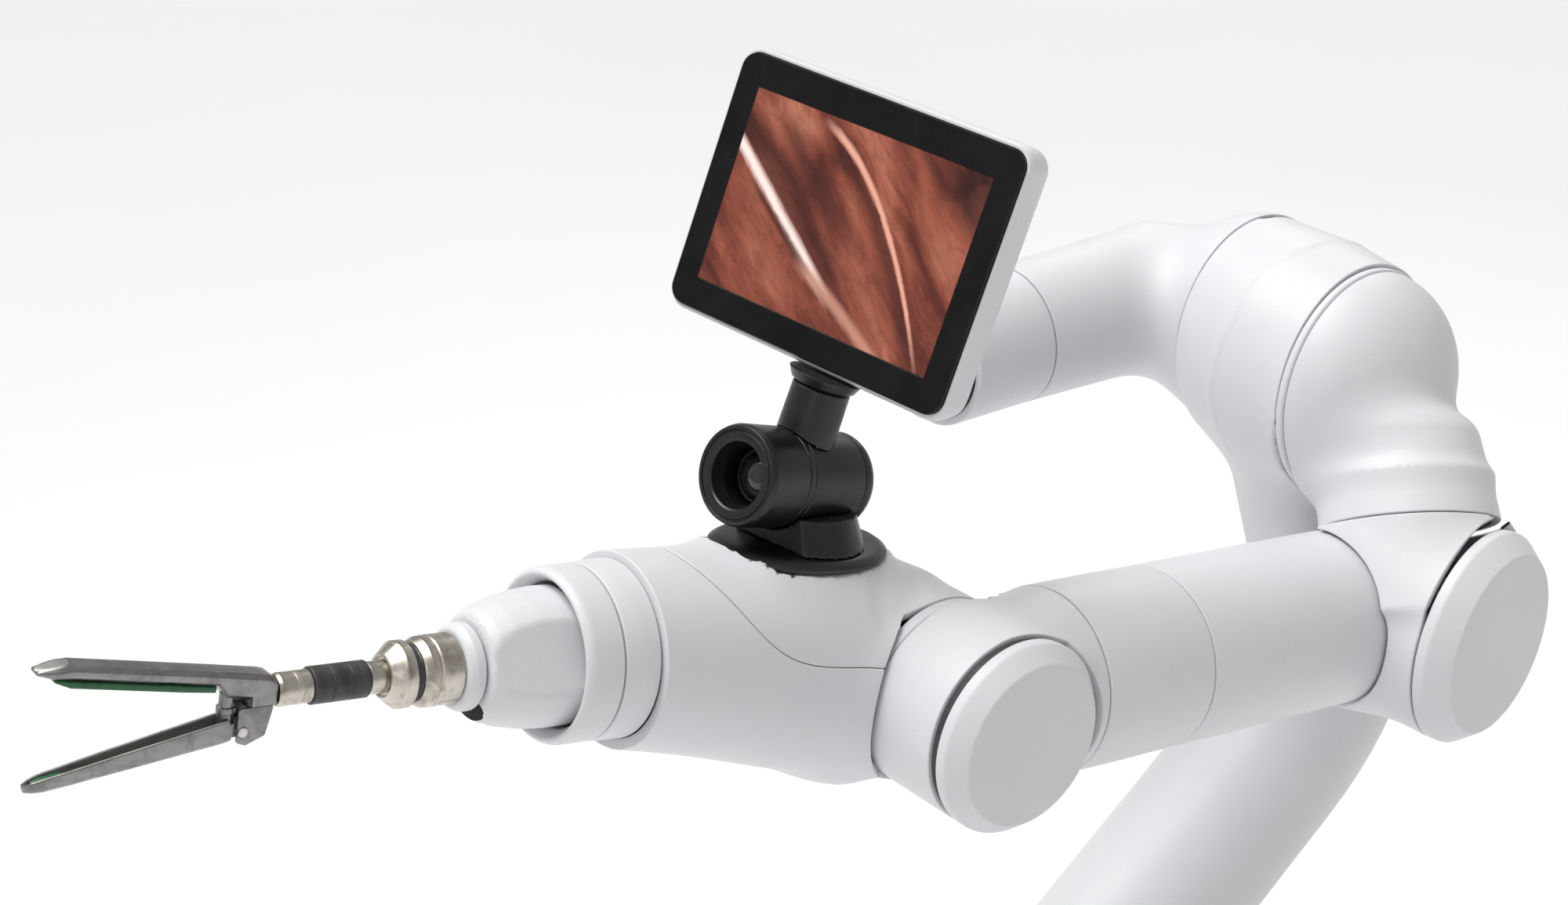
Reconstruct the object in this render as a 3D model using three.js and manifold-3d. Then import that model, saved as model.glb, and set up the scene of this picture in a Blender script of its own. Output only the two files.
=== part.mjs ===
// Jointed arm with a clamp-jawed instrument, a small camera and a monitor.
// Millimetres, +Z up, base at z = 0.
import * as THREE from "three";
import { mergeVertices } from "three/addons/utils/BufferGeometryUtils.js";
import Module from "manifold-3d";

const wasm = await Module();
wasm.setup();
const { Manifold, Mesh } = wasm;

// Driving dimensions.
const GAP = 0.4; // half of each seam between shells
const WALL = 4; // shell wall
const SIDES = 24; // facets round a shell
const SLIVER = 0.03; // edges that matter less than this are merged
const BASE = { plateR: 84, plateH: 14, houseR: 60, houseTop: 54, boltCircle: 140, boltR: 4.5 };
const TURRET_TOP = 76; // of the turret's foot, under the lower arm's hub
const SHOULDER = new THREE.Vector3(0, 0, 140); // pitch axis along Y
const HUB_R = 60;
const HUB_HALF = 50;
const LINK_R = 46; // bent tube of the lower arm
const LINK_CORNER = new THREE.Vector3(331, 0, 365);
const TOP = new THREE.Vector3(259, 0, 561); // middle of the top housing
const FRONT_JOINT = { x: 255, y: -37, z: 556, r: 59, dome: 46 }; // pitch axis along Y
const REAR_JOINT = { x: 264, y: 37, z: 566, r: 57, dome: 50 }; // pitch axis along Y
const REAR = { r: 35.5, y: 92, z: 570, seamX: 139.5, endX: 88 }; // short link behind the top joint
const ELBOW = new THREE.Vector3(232, -84, 457); // on the forearm's axis
const ELBOW_CAP = { x: 233, y: -136, z: 462, r: 53, height: 16 };
const ELBOW_AXIS = new THREE.Vector3(0.11, -0.994, 0).normalize(); // the cap faces along it
const NECK = { seam: new THREE.Vector3(235.5, -93, 502), r: 43.5, waist: 40.5 };
const NECK_AXIS = new THREE.Vector3(0.34, 0.46, 0.82).normalize();
const WRIST = new THREE.Vector3(-52, -84, 503); // on the forearm's axis
const WRIST_DRUM = { z: 501, r: 41.5, rearY: -76, gapY: -113, gapWidth: 3, capHeight: 13 };
const FOREARM = { wristR: 41, elbowR: 42, wristSeam: 49, midSeam: 115, elbowSeam: 248 };
const TOOL = new THREE.Vector3(-190.6, -35, 551.7); // centre of the head's rear seam
const TOOL_AXIS = new THREE.Vector3(-0.979, 0, 0.204).normalize();
const TOOL_R = 35;
const FRONT_SEAM = 16; // of the nose bezel, forward of the head's rear seam
const JAW = { open: 9.3, width: 10, pinT: 153.5, pinUp: -12 }; // open: degrees from the shaft's axis
const PEDESTAL = new THREE.Vector3(-92, -28, 562); // centre of the seat under the camera's plate
const CAMERA = { centre: new THREE.Vector3(-92, -23, 592.5), r: 20.5 };
const STEM_AXIS = new THREE.Vector3(0.342, -0.072, 0.937).normalize();
const BARREL_AXIS = new THREE.Vector3(-0.934, -0.135, 0.331).normalize();
const SCREEN = { width: 141, height: 113, depth: 21, corner: 9, activeWidth: 114, activeHeight: 82 };
const SCREEN_CENTRE = new THREE.Vector3(-64.4, -18.9, 691.8); // of its front face
const SCREEN_NORMAL = new THREE.Vector3(-0.902, -0.304, 0.306);

const Y = new THREE.Vector3(0, 1, 0);
const Z = new THREE.Vector3(0, 0, 1);
const v = (x, y, z) => new THREE.Vector3(x, y, z);

// A three.js geometry as a manifold solid, moved by a matrix.
function solid(geometry, matrix = new THREE.Matrix4()) {
  const g = geometry.index ? geometry.toNonIndexed() : geometry.clone();
  g.deleteAttribute("normal");
  g.deleteAttribute("uv");
  g.applyMatrix4(matrix);
  const merged = mergeVertices(g, 1e-4);
  return new Manifold(
    new Mesh({
      numProp: 3,
      vertProperties: merged.attributes.position.array,
      triVerts: new Uint32Array(merged.index.array),
    }),
  );
}

// The matrix that takes +Y to an axis and the origin to a point.
function stand(point, axis) {
  const turn = new THREE.Quaternion().setFromUnitVectors(Y, axis.clone().normalize());
  return new THREE.Matrix4().compose(point, turn, v(1, 1, 1));
}

// A frustum between two points.
function frustum(a, b, ra, rb = ra, sides = SIDES) {
  const axis = b.clone().sub(a);
  const g = new THREE.CylinderGeometry(rb, ra, axis.length(), sides, 1);
  return solid(g, stand(a.clone().add(b).multiplyScalar(0.5), axis));
}

// A body of revolution: profile points are [radius, distance along the axis].
function turned(profile, point, axis, sides = SIDES) {
  const points = profile.map(([r, t]) => new THREE.Vector2(r, t));
  return solid(new THREE.LatheGeometry(points, sides), stand(point, axis));
}

// An ellipsoid, round its own Y axis unless stretched.
function ball(point, r, axis = Y, along = r, sides = 18) {
  const g = new THREE.SphereGeometry(r, sides, sides / 2).scale(1, along / r, 1);
  return solid(g, stand(point, axis));
}

// The half of space on the far side of a plane, as a large box to cut with.
function beyond(point, axis) {
  const centre = point.clone().addScaledVector(axis, 500);
  return solid(new THREE.BoxGeometry(1600, 1000, 1600), stand(centre, axis));
}

function before(point, axis) {
  return beyond(point, axis.clone().negate());
}

function join(...pieces) {
  return Manifold.union(pieces);
}

// A rounded rectangular slab in the frame of a matrix whose Z is its thickness.
function slab(width, height, depth, corner, matrix, steps = 4) {
  const w = width / 2;
  const h = height / 2;
  const s = new THREE.Shape();
  s.moveTo(-w + corner, -h);
  s.lineTo(w - corner, -h);
  s.absarc(w - corner, -h + corner, corner, -Math.PI / 2, 0);
  s.lineTo(w, h - corner);
  s.absarc(w - corner, h - corner, corner, 0, Math.PI / 2);
  s.lineTo(-w + corner, h);
  s.absarc(-w + corner, h - corner, corner, Math.PI / 2, Math.PI);
  s.lineTo(-w, -h + corner);
  s.absarc(-w + corner, -h + corner, corner, Math.PI, Math.PI * 1.5);
  const g = new THREE.ExtrudeGeometry(s, { depth, bevelEnabled: false, curveSegments: steps });
  return solid(g, matrix);
}

// A profile in X and Y, extruded by a depth and centred on Z.
function plate(points, depth, matrix) {
  const s = new THREE.Shape(points.map(([x, y]) => new THREE.Vector2(x, y)));
  const g = new THREE.ExtrudeGeometry(s, { depth, bevelEnabled: false });
  g.translate(0, 0, -depth / 2);
  return solid(g, matrix);
}

const COLOURS = {
  shell: ["#dfe1e4", 0.45, 0],
  seal: ["#2b2d30", 0.6, 0],
  metal: ["#9a9ca0", 0.35, 1],
  nickel: ["#b9b6ae", 0.3, 1],
  dark: ["#141517", 0.4, 0],
  glass: ["#0b0c0e", 0.12, 0],
  picture: ["#a4553f", 0.3, 0],
  green: ["#1f4a30", 0.5, 0],
  steel: ["#7d7b78", 0.35, 1],
};

const arm = new THREE.Group();

// Adds a manifold solid to the assembly as a named mesh, without the slivers that booleans leave.
function add(name, made, look) {
  const m = made.simplify(SLIVER).getMesh();
  const n = m.numProp;
  const positions = new Float32Array((m.vertProperties.length / n) * 3);
  for (let i = 0; i < positions.length / 3; i++) {
    positions.set(m.vertProperties.subarray(i * n, i * n + 3), i * 3);
  }
  const g = new THREE.BufferGeometry();
  g.setAttribute("position", new THREE.BufferAttribute(positions, 3));
  g.setIndex(new THREE.BufferAttribute(m.triVerts, 1));
  g.computeVertexNormals();
  const [color, roughness, metalness] = COLOURS[look];
  const mesh = new THREE.Mesh(g, new THREE.MeshStandardMaterial({ color, roughness, metalness }));
  mesh.name = name;
  arm.add(mesh);
}

// A closed drive unit: a stepped drum on an axis, held in a shell's hollow.
function drive(point, axis, r, length) {
  const step = length * 0.55;
  const profile = [[0, 0], [r, 0], [r, step], [r * 0.8, step + 2], [r * 0.8, length], [0, length]];
  return turned(profile, point, axis, 16);
}

// A conical cover with a flat face, standing on an axis.
function cap(point, axis, r, height) {
  const profile = [[0, 0], [r, 0], [r, height * 0.3], [r * 0.83, height], [0, height]];
  return turned(profile, point, axis, 36);
}

function base() {
  let flange = frustum(v(0, 0, 0), v(0, 0, BASE.plateH), BASE.plateR);
  for (let i = 0; i < 4; i++) {
    const a = Math.PI / 4 + (i * Math.PI) / 2;
    const x = (Math.cos(a) * BASE.boltCircle) / 2;
    const y = (Math.sin(a) * BASE.boltCircle) / 2;
    flange = flange.subtract(frustum(v(x, y, -1), v(x, y, BASE.plateH + 1), BASE.boltR, BASE.boltR, 24));
  }
  add("base_flange", flange, "metal");
  const low = BASE.plateH + GAP;
  const house = frustum(v(0, 0, low), v(0, 0, BASE.houseTop), 57, BASE.houseR - 4);
  const inside = frustum(v(0, 0, low + 4), v(0, 0, BASE.houseTop + 1), 51);
  const panelSeat = new THREE.BoxGeometry(20, 44.8, 24.8);
  const seat = solid(panelSeat, new THREE.Matrix4().makeTranslation(64, 0, 34));
  add("base_housing", house.subtract(inside).subtract(seat), "shell");
  add("base_yaw_drive", drive(v(0, 0, low + 5), Z, 46, BASE.houseTop - low - 8), "metal");
  const panel = new THREE.BoxGeometry(9, 44, 24);
  const socket = new THREE.CylinderGeometry(6, 6, 9, 20);
  let block = solid(panel, new THREE.Matrix4().makeTranslation(59, 0, 34));
  for (const y of [-12, 12]) {
    block = block.subtract(solid(socket, stand(v(61, y, 34), v(1, 0, 0))));
  }
  add("base_connector_panel", block, "dark");
}

function turret() {
  const low = BASE.houseTop + GAP * 2;
  const back = HUB_HALF + GAP;
  const outer = join(
    frustum(v(0, 0, low), v(0, 0, TURRET_TOP), BASE.houseR, BASE.houseR),
    frustum(v(0, back, SHOULDER.z), v(0, 112, SHOULDER.z), HUB_R, HUB_R - 4),
    frustum(v(0, 20, low + 4), v(0, 82, 132), 44, 46),
  );
  const armSpace = frustum(v(0, -90, SHOULDER.z), v(0, back, SHOULDER.z), HUB_R + 2.5);
  const hollow = frustum(v(0, back + 6, SHOULDER.z), v(0, 120, SHOULDER.z), 52);
  const below = before(v(0, 0, low), Z);
  add("turret_housing", outer.subtract(armSpace).subtract(hollow).subtract(below), "shell");
  add("turret_cap", cap(v(0, 112 + GAP, SHOULDER.z), Y, HUB_R - 4, 12), "shell");
  add("shoulder_drive", drive(v(0, back + 7, SHOULDER.z), Y, 46, 48), "metal");
}

// The bent tube's centre line from the shoulder to the top joint.
function linkCurve(start, end) {
  const path = new THREE.CurvePath();
  const into = SHOULDER.clone().lerp(LINK_CORNER, 0.78);
  const out = LINK_CORNER.clone().lerp(TOP, 0.42);
  path.add(new THREE.LineCurve3(SHOULDER.clone().lerp(LINK_CORNER, start), into));
  path.add(new THREE.QuadraticBezierCurve3(into, LINK_CORNER.clone(), out));
  path.add(new THREE.LineCurve3(out, TOP.clone().lerp(LINK_CORNER, end)));
  return path;
}

function sweep(path, r, steps, sides) {
  const s = new THREE.Shape();
  s.absarc(0, 0, r, 0, Math.PI * 2);
  const g = new THREE.ExtrudeGeometry(s, { steps, extrudePath: path, curveSegments: sides / 2 });
  return solid(g);
}

function lowerArm() {
  const front = v(FRONT_JOINT.x, FRONT_JOINT.y + GAP, FRONT_JOINT.z);
  const rear = v(REAR_JOINT.x, REAR_JOINT.y - GAP, REAR_JOINT.z);
  const along = (point, d) => point.clone().addScaledVector(Y, d);
  const topHousing = (thin) =>
    join(
      frustum(along(front, -14 - thin), along(TOP, 4), FRONT_JOINT.r - thin, FRONT_JOINT.r - thin),
      frustum(along(TOP, -4), along(rear, 14 + thin), FRONT_JOINT.r - thin, REAR_JOINT.r - thin),
    );
  const outer = join(
    frustum(v(0, -HUB_HALF + GAP, SHOULDER.z), v(0, HUB_HALF - GAP, SHOULDER.z), HUB_R),
    sweep(linkCurve(0, 0), LINK_R, 12, 20),
    topHousing(0),
  );
  const inner = join(
    frustum(v(0, -HUB_HALF - 1, SHOULDER.z), v(0, HUB_HALF - 6, SHOULDER.z), HUB_R - 6),
    sweep(linkCurve(0.01, 0.01), LINK_R - WALL, 10, 16),
    topHousing(6),
  );
  const frontSpace = frustum(front, along(front, -60), 66);
  const rearSpace = frustum(rear, along(rear, 60), 66);
  add("lower_arm_shell", outer.subtract(inner).subtract(frontSpace).subtract(rearSpace), "shell");
  const forward = Y.clone().negate();
  add("shoulder_cap", cap(v(0, -HUB_HALF - GAP, SHOULDER.z), forward, HUB_R - 1, 12), "shell");
  add("top_front_drive", drive(v(FRONT_JOINT.x + 1, -2, FRONT_JOINT.z + 2), forward, 44, 33), "metal");
  add("top_rear_drive", drive(v(REAR_JOINT.x - 1, 2, REAR_JOINT.z - 2), Y, 44, 33), "metal");
}

function frontLink() {
  const at = v(FRONT_JOINT.x, FRONT_JOINT.y, FRONT_JOINT.z);
  const up = (d) => NECK.seam.clone().addScaledVector(NECK_AXIS, d);
  const made = (thin, low) =>
    join(
      ball(at, FRONT_JOINT.r - thin, Y, FRONT_JOINT.dome - thin),
      frustum(up(low), up(24), NECK.r + 1 - thin, NECK.waist - thin),
      frustum(up(24), up(56 - thin), NECK.waist - thin, 35 - thin),
    );
  const seam = at.clone().addScaledVector(Y, -GAP);
  const shell = made(0, -8)
    .subtract(made(WALL, -12))
    .subtract(beyond(seam, Y))
    .subtract(before(up(GAP), NECK_AXIS));
  add("front_link_shell", shell, "shell");
  add("neck_drive", drive(up(2), NECK_AXIS, 31, 30), "metal");
}

function rearLink() {
  const at = v(REAR_JOINT.x, REAR_JOINT.y, REAR_JOINT.z);
  const bend = v(REAR_JOINT.x - 18, REAR.y, REAR.z);
  const end = (x) => v(x, REAR.y, REAR.z);
  const made = (thin, x) =>
    join(
      ball(at, REAR_JOINT.r - thin, Y, REAR_JOINT.dome - thin),
      ball(bend, REAR.r + 3 - thin),
      frustum(bend, end(x), REAR.r + 3 - thin, REAR.r - thin, 32),
    );
  const shell = made(0, REAR.seamX + GAP)
    .subtract(made(WALL, REAR.seamX - 4))
    .subtract(before(at.clone().addScaledVector(Y, GAP), Y));
  add("rear_link_shell", shell, "shell");
  add("rear_roll_drive", drive(end(REAR.seamX + 4), v(1, 0, 0), 28, 44), "metal");
  const sleeve = frustum(end(REAR.seamX - GAP), end(REAR.endX), REAR.r, REAR.r, 32);
  const bore = frustum(end(REAR.seamX + 1), end(REAR.endX + 6), REAR.r - WALL);
  add("rear_end_shell", sleeve.subtract(bore), "shell");
  let disc = frustum(end(REAR.endX - GAP), end(REAR.endX - 7), 31.5, 31.5, 32);
  for (let i = 0; i < 4; i++) {
    const a = Math.PI / 4 + (i * Math.PI) / 2;
    const y = REAR.y + Math.cos(a) * 25;
    const z = REAR.z + Math.sin(a) * 25;
    disc = disc.subtract(frustum(v(REAR.endX + 1, y, z), v(REAR.endX - 8, y, z), 3, 3, 16));
  }
  add("rear_flange", disc, "metal");
}

function elbow() {
  const toWrist = WRIST.clone().sub(ELBOW).normalize();
  const neckSeam = NECK.seam.clone().addScaledVector(NECK_AXIS, -GAP);
  const forearmSeam = WRIST.clone().addScaledVector(toWrist, -FOREARM.elbowSeam - GAP);
  const capCentre = v(ELBOW_CAP.x, ELBOW_CAP.y, ELBOW_CAP.z);
  const capSeat = capCentre.clone().addScaledVector(ELBOW_AXIS, -GAP);
  const past = (point, axis, d) => point.clone().addScaledVector(axis, d);
  const made = (thin) =>
    join(
      ball(v(ELBOW.x + 2, ELBOW.y, ELBOW.z), 47 - thin, Y, 45 - thin),
      frustum(past(capSeat, ELBOW_AXIS, -48), past(capSeat, ELBOW_AXIS, 4), 49 - thin, ELBOW_CAP.r - thin),
      frustum(past(neckSeam, NECK_AXIS, -44), past(neckSeam, NECK_AXIS, 4), 46 - thin, NECK.r - thin),
      frustum(
        past(forearmSeam, toWrist, -40),
        past(forearmSeam, toWrist, 4),
        46 - thin,
        FOREARM.elbowR - thin,
      ),
    );
  const housing = made(0)
    .subtract(made(WALL))
    .subtract(beyond(neckSeam, NECK_AXIS))
    .subtract(frustum(forearmSeam, past(forearmSeam, toWrist, 60), FOREARM.elbowR + 1.5))
    .subtract(beyond(capSeat, ELBOW_AXIS));
  add("elbow_housing", housing, "shell");
  const capAt = past(capCentre, ELBOW_AXIS, GAP);
  add("elbow_cap", cap(capAt, ELBOW_AXIS, ELBOW_CAP.r, ELBOW_CAP.height), "shell");
  add("elbow_gearbox", drive(past(capCentre, ELBOW_AXIS, -34), ELBOW_AXIS, 32, 30), "metal");
}

function forearm() {
  const toElbow = ELBOW.clone().sub(WRIST).normalize();
  const at = (s) => WRIST.clone().addScaledVector(toElbow, s);
  const slope = (FOREARM.elbowR - FOREARM.wristR) / (FOREARM.elbowSeam - FOREARM.wristSeam);
  const radius = (s) => FOREARM.wristR + (s - FOREARM.wristSeam) * slope;
  const tube = (a, b) => {
    const skin = frustum(at(a), at(b), radius(a), radius(b));
    return skin.subtract(frustum(at(a - 1), at(b + 1), radius(a) - WALL, radius(b) - WALL));
  };
  add("forearm_rear_shell", tube(FOREARM.midSeam + GAP, FOREARM.elbowSeam - GAP), "shell");
  add("forearm_front_shell", tube(FOREARM.wristSeam + GAP, FOREARM.midSeam - GAP), "shell");
  add("forearm_roll_drive", drive(at(FOREARM.elbowSeam - 6), toElbow.clone().negate(), 34, 62), "metal");
  add("forearm_wrist_drive", drive(at(FOREARM.wristSeam + 4), toElbow, 32, 50), "metal");
}

function wrist() {
  const d = WRIST_DRUM;
  const toElbow = ELBOW.clone().sub(WRIST).normalize();
  const seam = WRIST.clone().addScaledVector(toElbow, FOREARM.wristSeam - GAP);
  const c = (y) => v(WRIST.x, y, d.z);
  const made = (thin, more) =>
    join(
      frustum(c(d.rearY + 2), c(d.gapY - 2), d.r - thin, d.r - thin),
      frustum(
        WRIST.clone().add(v(-6, -8, 0)),
        seam.clone().addScaledVector(toElbow, more),
        33 - thin,
        FOREARM.wristR - thin,
      ),
    );
  const toolSpace = frustum(c(d.rearY - GAP), c(40), d.r + 3);
  const capSpace = frustum(c(d.gapY + GAP), c(d.gapY - 40), d.r + 3);
  const hollow = made(WALL, 3).subtract(frustum(c(d.rearY - 6), c(60), d.r + 5));
  const past = beyond(seam, toElbow);
  const body = made(0, 2).subtract(toolSpace).subtract(capSpace).subtract(hollow).subtract(past);
  add("wrist_housing", body, "shell");
  const ring = frustum(c(d.gapY), c(d.gapY - d.gapWidth), d.r - 1.5);
  add("wrist_seal_ring", ring.subtract(frustum(c(d.gapY + 1), c(d.gapY - 9), d.r - 8)), "seal");
  const capAt = c(d.gapY - d.gapWidth - GAP);
  add("wrist_cap", cap(capAt, Y.clone().negate(), d.r, d.capHeight), "shell");
  add("wrist_pitch_drive", drive(c(-84), Y.clone().negate(), 33, 27), "metal");
}

// Points along the instrument's axis, counted forward from the head's rear seam.
function onTool(t, side = 0, up = 0) {
  const lift = v(0.204, 0, 0.979).normalize();
  return TOOL.clone().addScaledVector(TOOL_AXIS, t).addScaledVector(Y, side).addScaledVector(lift, up);
}

function toolHead() {
  const d = WRIST_DRUM;
  const c = (y) => v(WRIST.x, y, d.z);
  const ring = frustum(c(d.rearY + GAP), c(d.rearY + 6), d.r - 0.5);
  add("wrist_output_ring", ring.subtract(frustum(c(d.rearY - 1), c(d.rearY + 7), 24)), "shell");
  const plateNormal = v(0.204, 0, 0.979).normalize();
  const pedestal = PEDESTAL;
  const start = d.rearY + 6 + GAP;
  const body = join(
    frustum(c(start), c(-34), d.r, d.r),
    ball(c(-34), d.r, Y, 36),
    frustum(v(-76, -36, 504), onTool(4), 47, TOOL_R),
    ball(v(-76, -36, 504), 47),
    frustum(pedestal.clone().addScaledVector(plateNormal, -40), pedestal, 44, 37),
    frustum(pedestal.clone().add(v(-4, 0, -36)), onTool(4), 40, TOOL_R),
  );
  const hollow = join(
    ball(v(-78, -34, 510), 39),
    frustum(v(-78, -34, 510), onTool(-6), 39, TOOL_R - 5),
    frustum(onTool(-18), onTool(3), TOOL_R - 6, TOOL_R - 6),
  );
  const plateSpace = frustum(pedestal, pedestal.clone().addScaledVector(plateNormal, 40), 39);
  const trimmed = body
    .subtract(beyond(onTool(-GAP), TOOL_AXIS))
    .subtract(frustum(c(start), c(-200), d.r + 2.5))
    .subtract(plateSpace)
    .subtract(hollow);
  // The top cover meets the lower shell on a plane that leans down towards the wrist.
  const partNormal = v(0.75, 0.12, 0.66).normalize();
  const partAt = v(-118, -35, 545);
  add("tool_lower_shell", trimmed.subtract(beyond(partAt, partNormal)), "shell");
  add(
    "tool_upper_shell",
    trimmed.subtract(before(partAt.clone().addScaledVector(partNormal, 0.7), partNormal)),
    "shell",
  );
  const frontRing = frustum(onTool(GAP), onTool(FRONT_SEAM - GAP), TOOL_R, TOOL_R - 0.8);
  const ringBore = frustum(onTool(-1), onTool(FRONT_SEAM + 1), TOOL_R - 5);
  add("tool_front_ring", frontRing.subtract(ringBore), "shell");
  const r = TOOL_R - 0.8;
  const s = FRONT_SEAM + GAP;
  const bezel = turned(
    [[28.5, s], [r, s], [r, s + 12], [r - 3.5, s + 17], [28.5, s + 15], [28.5, s]],
    TOOL,
    TOOL_AXIS,
  );
  add("tool_nose_bezel", bezel, "shell");
  add("instrument_roll_drive", drive(onTool(-34), TOOL_AXIS, 24, 56), "metal");
  const plate = frustum(
    pedestal.clone().addScaledVector(plateNormal, GAP),
    pedestal.clone().addScaledVector(plateNormal, 5),
    37,
    35,
  );
  add("camera_plate", plate, "dark");
}

// A profile of [forward, up] points in the instrument's upright plane, tilted about its own origin.
function onToolPlane(points, depth, origin, tilt = 0, side = 0) {
  const lift = v(0.204, 0, 0.979).normalize();
  const frame = new THREE.Matrix4().makeBasis(TOOL_AXIS, lift, TOOL_AXIS.clone().cross(lift));
  const turn = new THREE.Matrix4().makeRotationZ(THREE.MathUtils.degToRad(tilt));
  const at = onTool(origin[0], side, origin[1]);
  const place = new THREE.Matrix4().makeTranslation(at.x, at.y, at.z).multiply(frame).multiply(turn);
  return plate(points, depth, place);
}

function instrument() {
  const nose = [[0, 24], [26.8, 24], [26.8, 34], [24.5, 52], [20.5, 61], [18.5, 64], [0, 64]];
  add("nose_cone", turned(nose, TOOL, TOOL_AXIS, 16), "shell");
  const collar = [[0, 64 + GAP], [16.5, 64 + GAP], [16.5, 69], [15, 71.5], [0, 71.5]];
  add("nose_collar", turned(collar, TOOL, TOOL_AXIS, 32), "shell");
  const coupling = [[0, 72], [13.2, 72], [13.2, 84], [12.4, 86.5], [11.4, 87.5], [11.4, 90], [0, 90]];
  add("coupling_body", turned(coupling, TOOL, TOOL_AXIS, 32), "nickel");
  const nut = [[0, 90.4], [12.4, 90.4], [12.4, 94.5], [7.8, 99.5], [0, 99.5]];
  add("coupling_nut", turned(nut, TOOL, TOOL_AXIS, 12), "nickel");
  add("shaft_rear", frustum(onTool(99.9), onTool(105.6), 6, 6, 24), "nickel");
  add("shaft_sleeve", frustum(onTool(106), onTool(128), 6.8, 6.8, 24), "dark");
  add("shaft_front", frustum(onTool(128.4), onTool(141), 6, 6, 24), "nickel");
}

// The jaw that is fixed to the shaft, with the two ears that hold the moving jaw's pin.
function upperJaw() {
  const bar = [[0, -3], [14, -3], [18, 2], [76, 2], [82, 3.4], [72, 7], [3, 7], [0, 4]];
  const block = [[0, -5], [9, -5], [9, 6], [0, 6]];
  const ear = [[1, -4], [4, -14.5], [11, -17.5], [14.7, -16], [14.7, -10.8], [12.6, -7.5], [12.6, -4]];
  const half = JAW.width / 2;
  const seatHole = (t) => frustum(onTool(t, 0, -4.5), onTool(t, 0, 7), 3.7, 3.7, 20);
  const strutSeat = join(seatHole(158.5), seatHole(156), seatHole(153.5));
  const pinHole = pinAxis(half + 1, 2.1);
  const jaw = join(
    onToolPlane(bar, JAW.width, [145.5, 1], JAW.open),
    onToolPlane(block, JAW.width, [141.4, 0]),
    onToolPlane(ear, 1.5, [141.4, 0], 0, half - 0.75),
    onToolPlane(ear, 1.5, [141.4, 0], 0, -half + 0.75),
  );
  add("upper_jaw", jaw.subtract(strutSeat).subtract(pinHole), "steel");
  const strip = [[19, -0.8], [74, -0.8], [76, 1.7], [20, 1.7]];
  add("upper_jaw_pad", onToolPlane(strip, 8.6, [145.5, 1], JAW.open), "green");
  add("jaw_pin", pinAxis(half + 0.6, 1.8), "nickel");
}

// The short post that stands in the lower jaw's root and runs in the upper jaw's seat.
function strut(r, low) {
  return frustum(onTool(158.2, 0, low), onTool(158.6, 0, 2), r, r, 20);
}

function pinAxis(half, r) {
  return frustum(onTool(JAW.pinT, -half, JAW.pinUp), onTool(JAW.pinT, half, JAW.pinUp), r, r, 20);
}

// The moving jaw: a tapered channel on a tang between the ears.
function lowerJaw() {
  const origin = [156.5, -7];
  const side = [[0, 0], [68, -3], [72.5, -4.4], [71, -7], [66, -8], [2, -8.5]];
  const tang = [[-8.5, -2.6], [1, -2], [3, -7.5], [-6, -8.4]];
  const channel = [[3, 1], [80, 1], [80, -4.2], [60, -5.6], [3, -5]];
  const taper = (sign) => {
    const wedge = [[0, 4.4 * sign], [76, 2.6 * sign], [76, 9 * sign], [0, 9 * sign]];
    const lift = v(0.204, 0, 0.979).normalize();
    const frame = new THREE.Matrix4().makeBasis(TOOL_AXIS, Y, TOOL_AXIS.clone().cross(Y));
    const at = onTool(origin[0], 0, origin[1] - 5);
    const turned = new THREE.Matrix4().makeRotationAxis(Y, THREE.MathUtils.degToRad(-JAW.open));
    const place = new THREE.Matrix4().makeTranslation(at.x, at.y, at.z).multiply(turned).multiply(frame);
    return plate(sign > 0 ? wedge : wedge.reverse(), 40, place);
  };
  const body = join(
    onToolPlane(side, 8.8, origin, -JAW.open),
    onToolPlane(tang, 6.2, origin, -JAW.open),
  );
  const jaw = body
    .subtract(onToolPlane(channel, 3.6, origin, -JAW.open))
    .subtract(taper(1))
    .subtract(taper(-1))
    .subtract(strut(3.2, -11.8))
    .subtract(pinAxis(9, 2.1));
  add("lower_jaw", jaw, "steel");
  const insert = [[61, -3.6], [68, -3.6], [68, -4.6], [61, -5.1]];
  add("lower_jaw_insert", onToolPlane(insert, 3, origin, -JAW.open), "green");
  add("jaw_strut", strut(2.9, -11.3), "steel");
}

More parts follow.
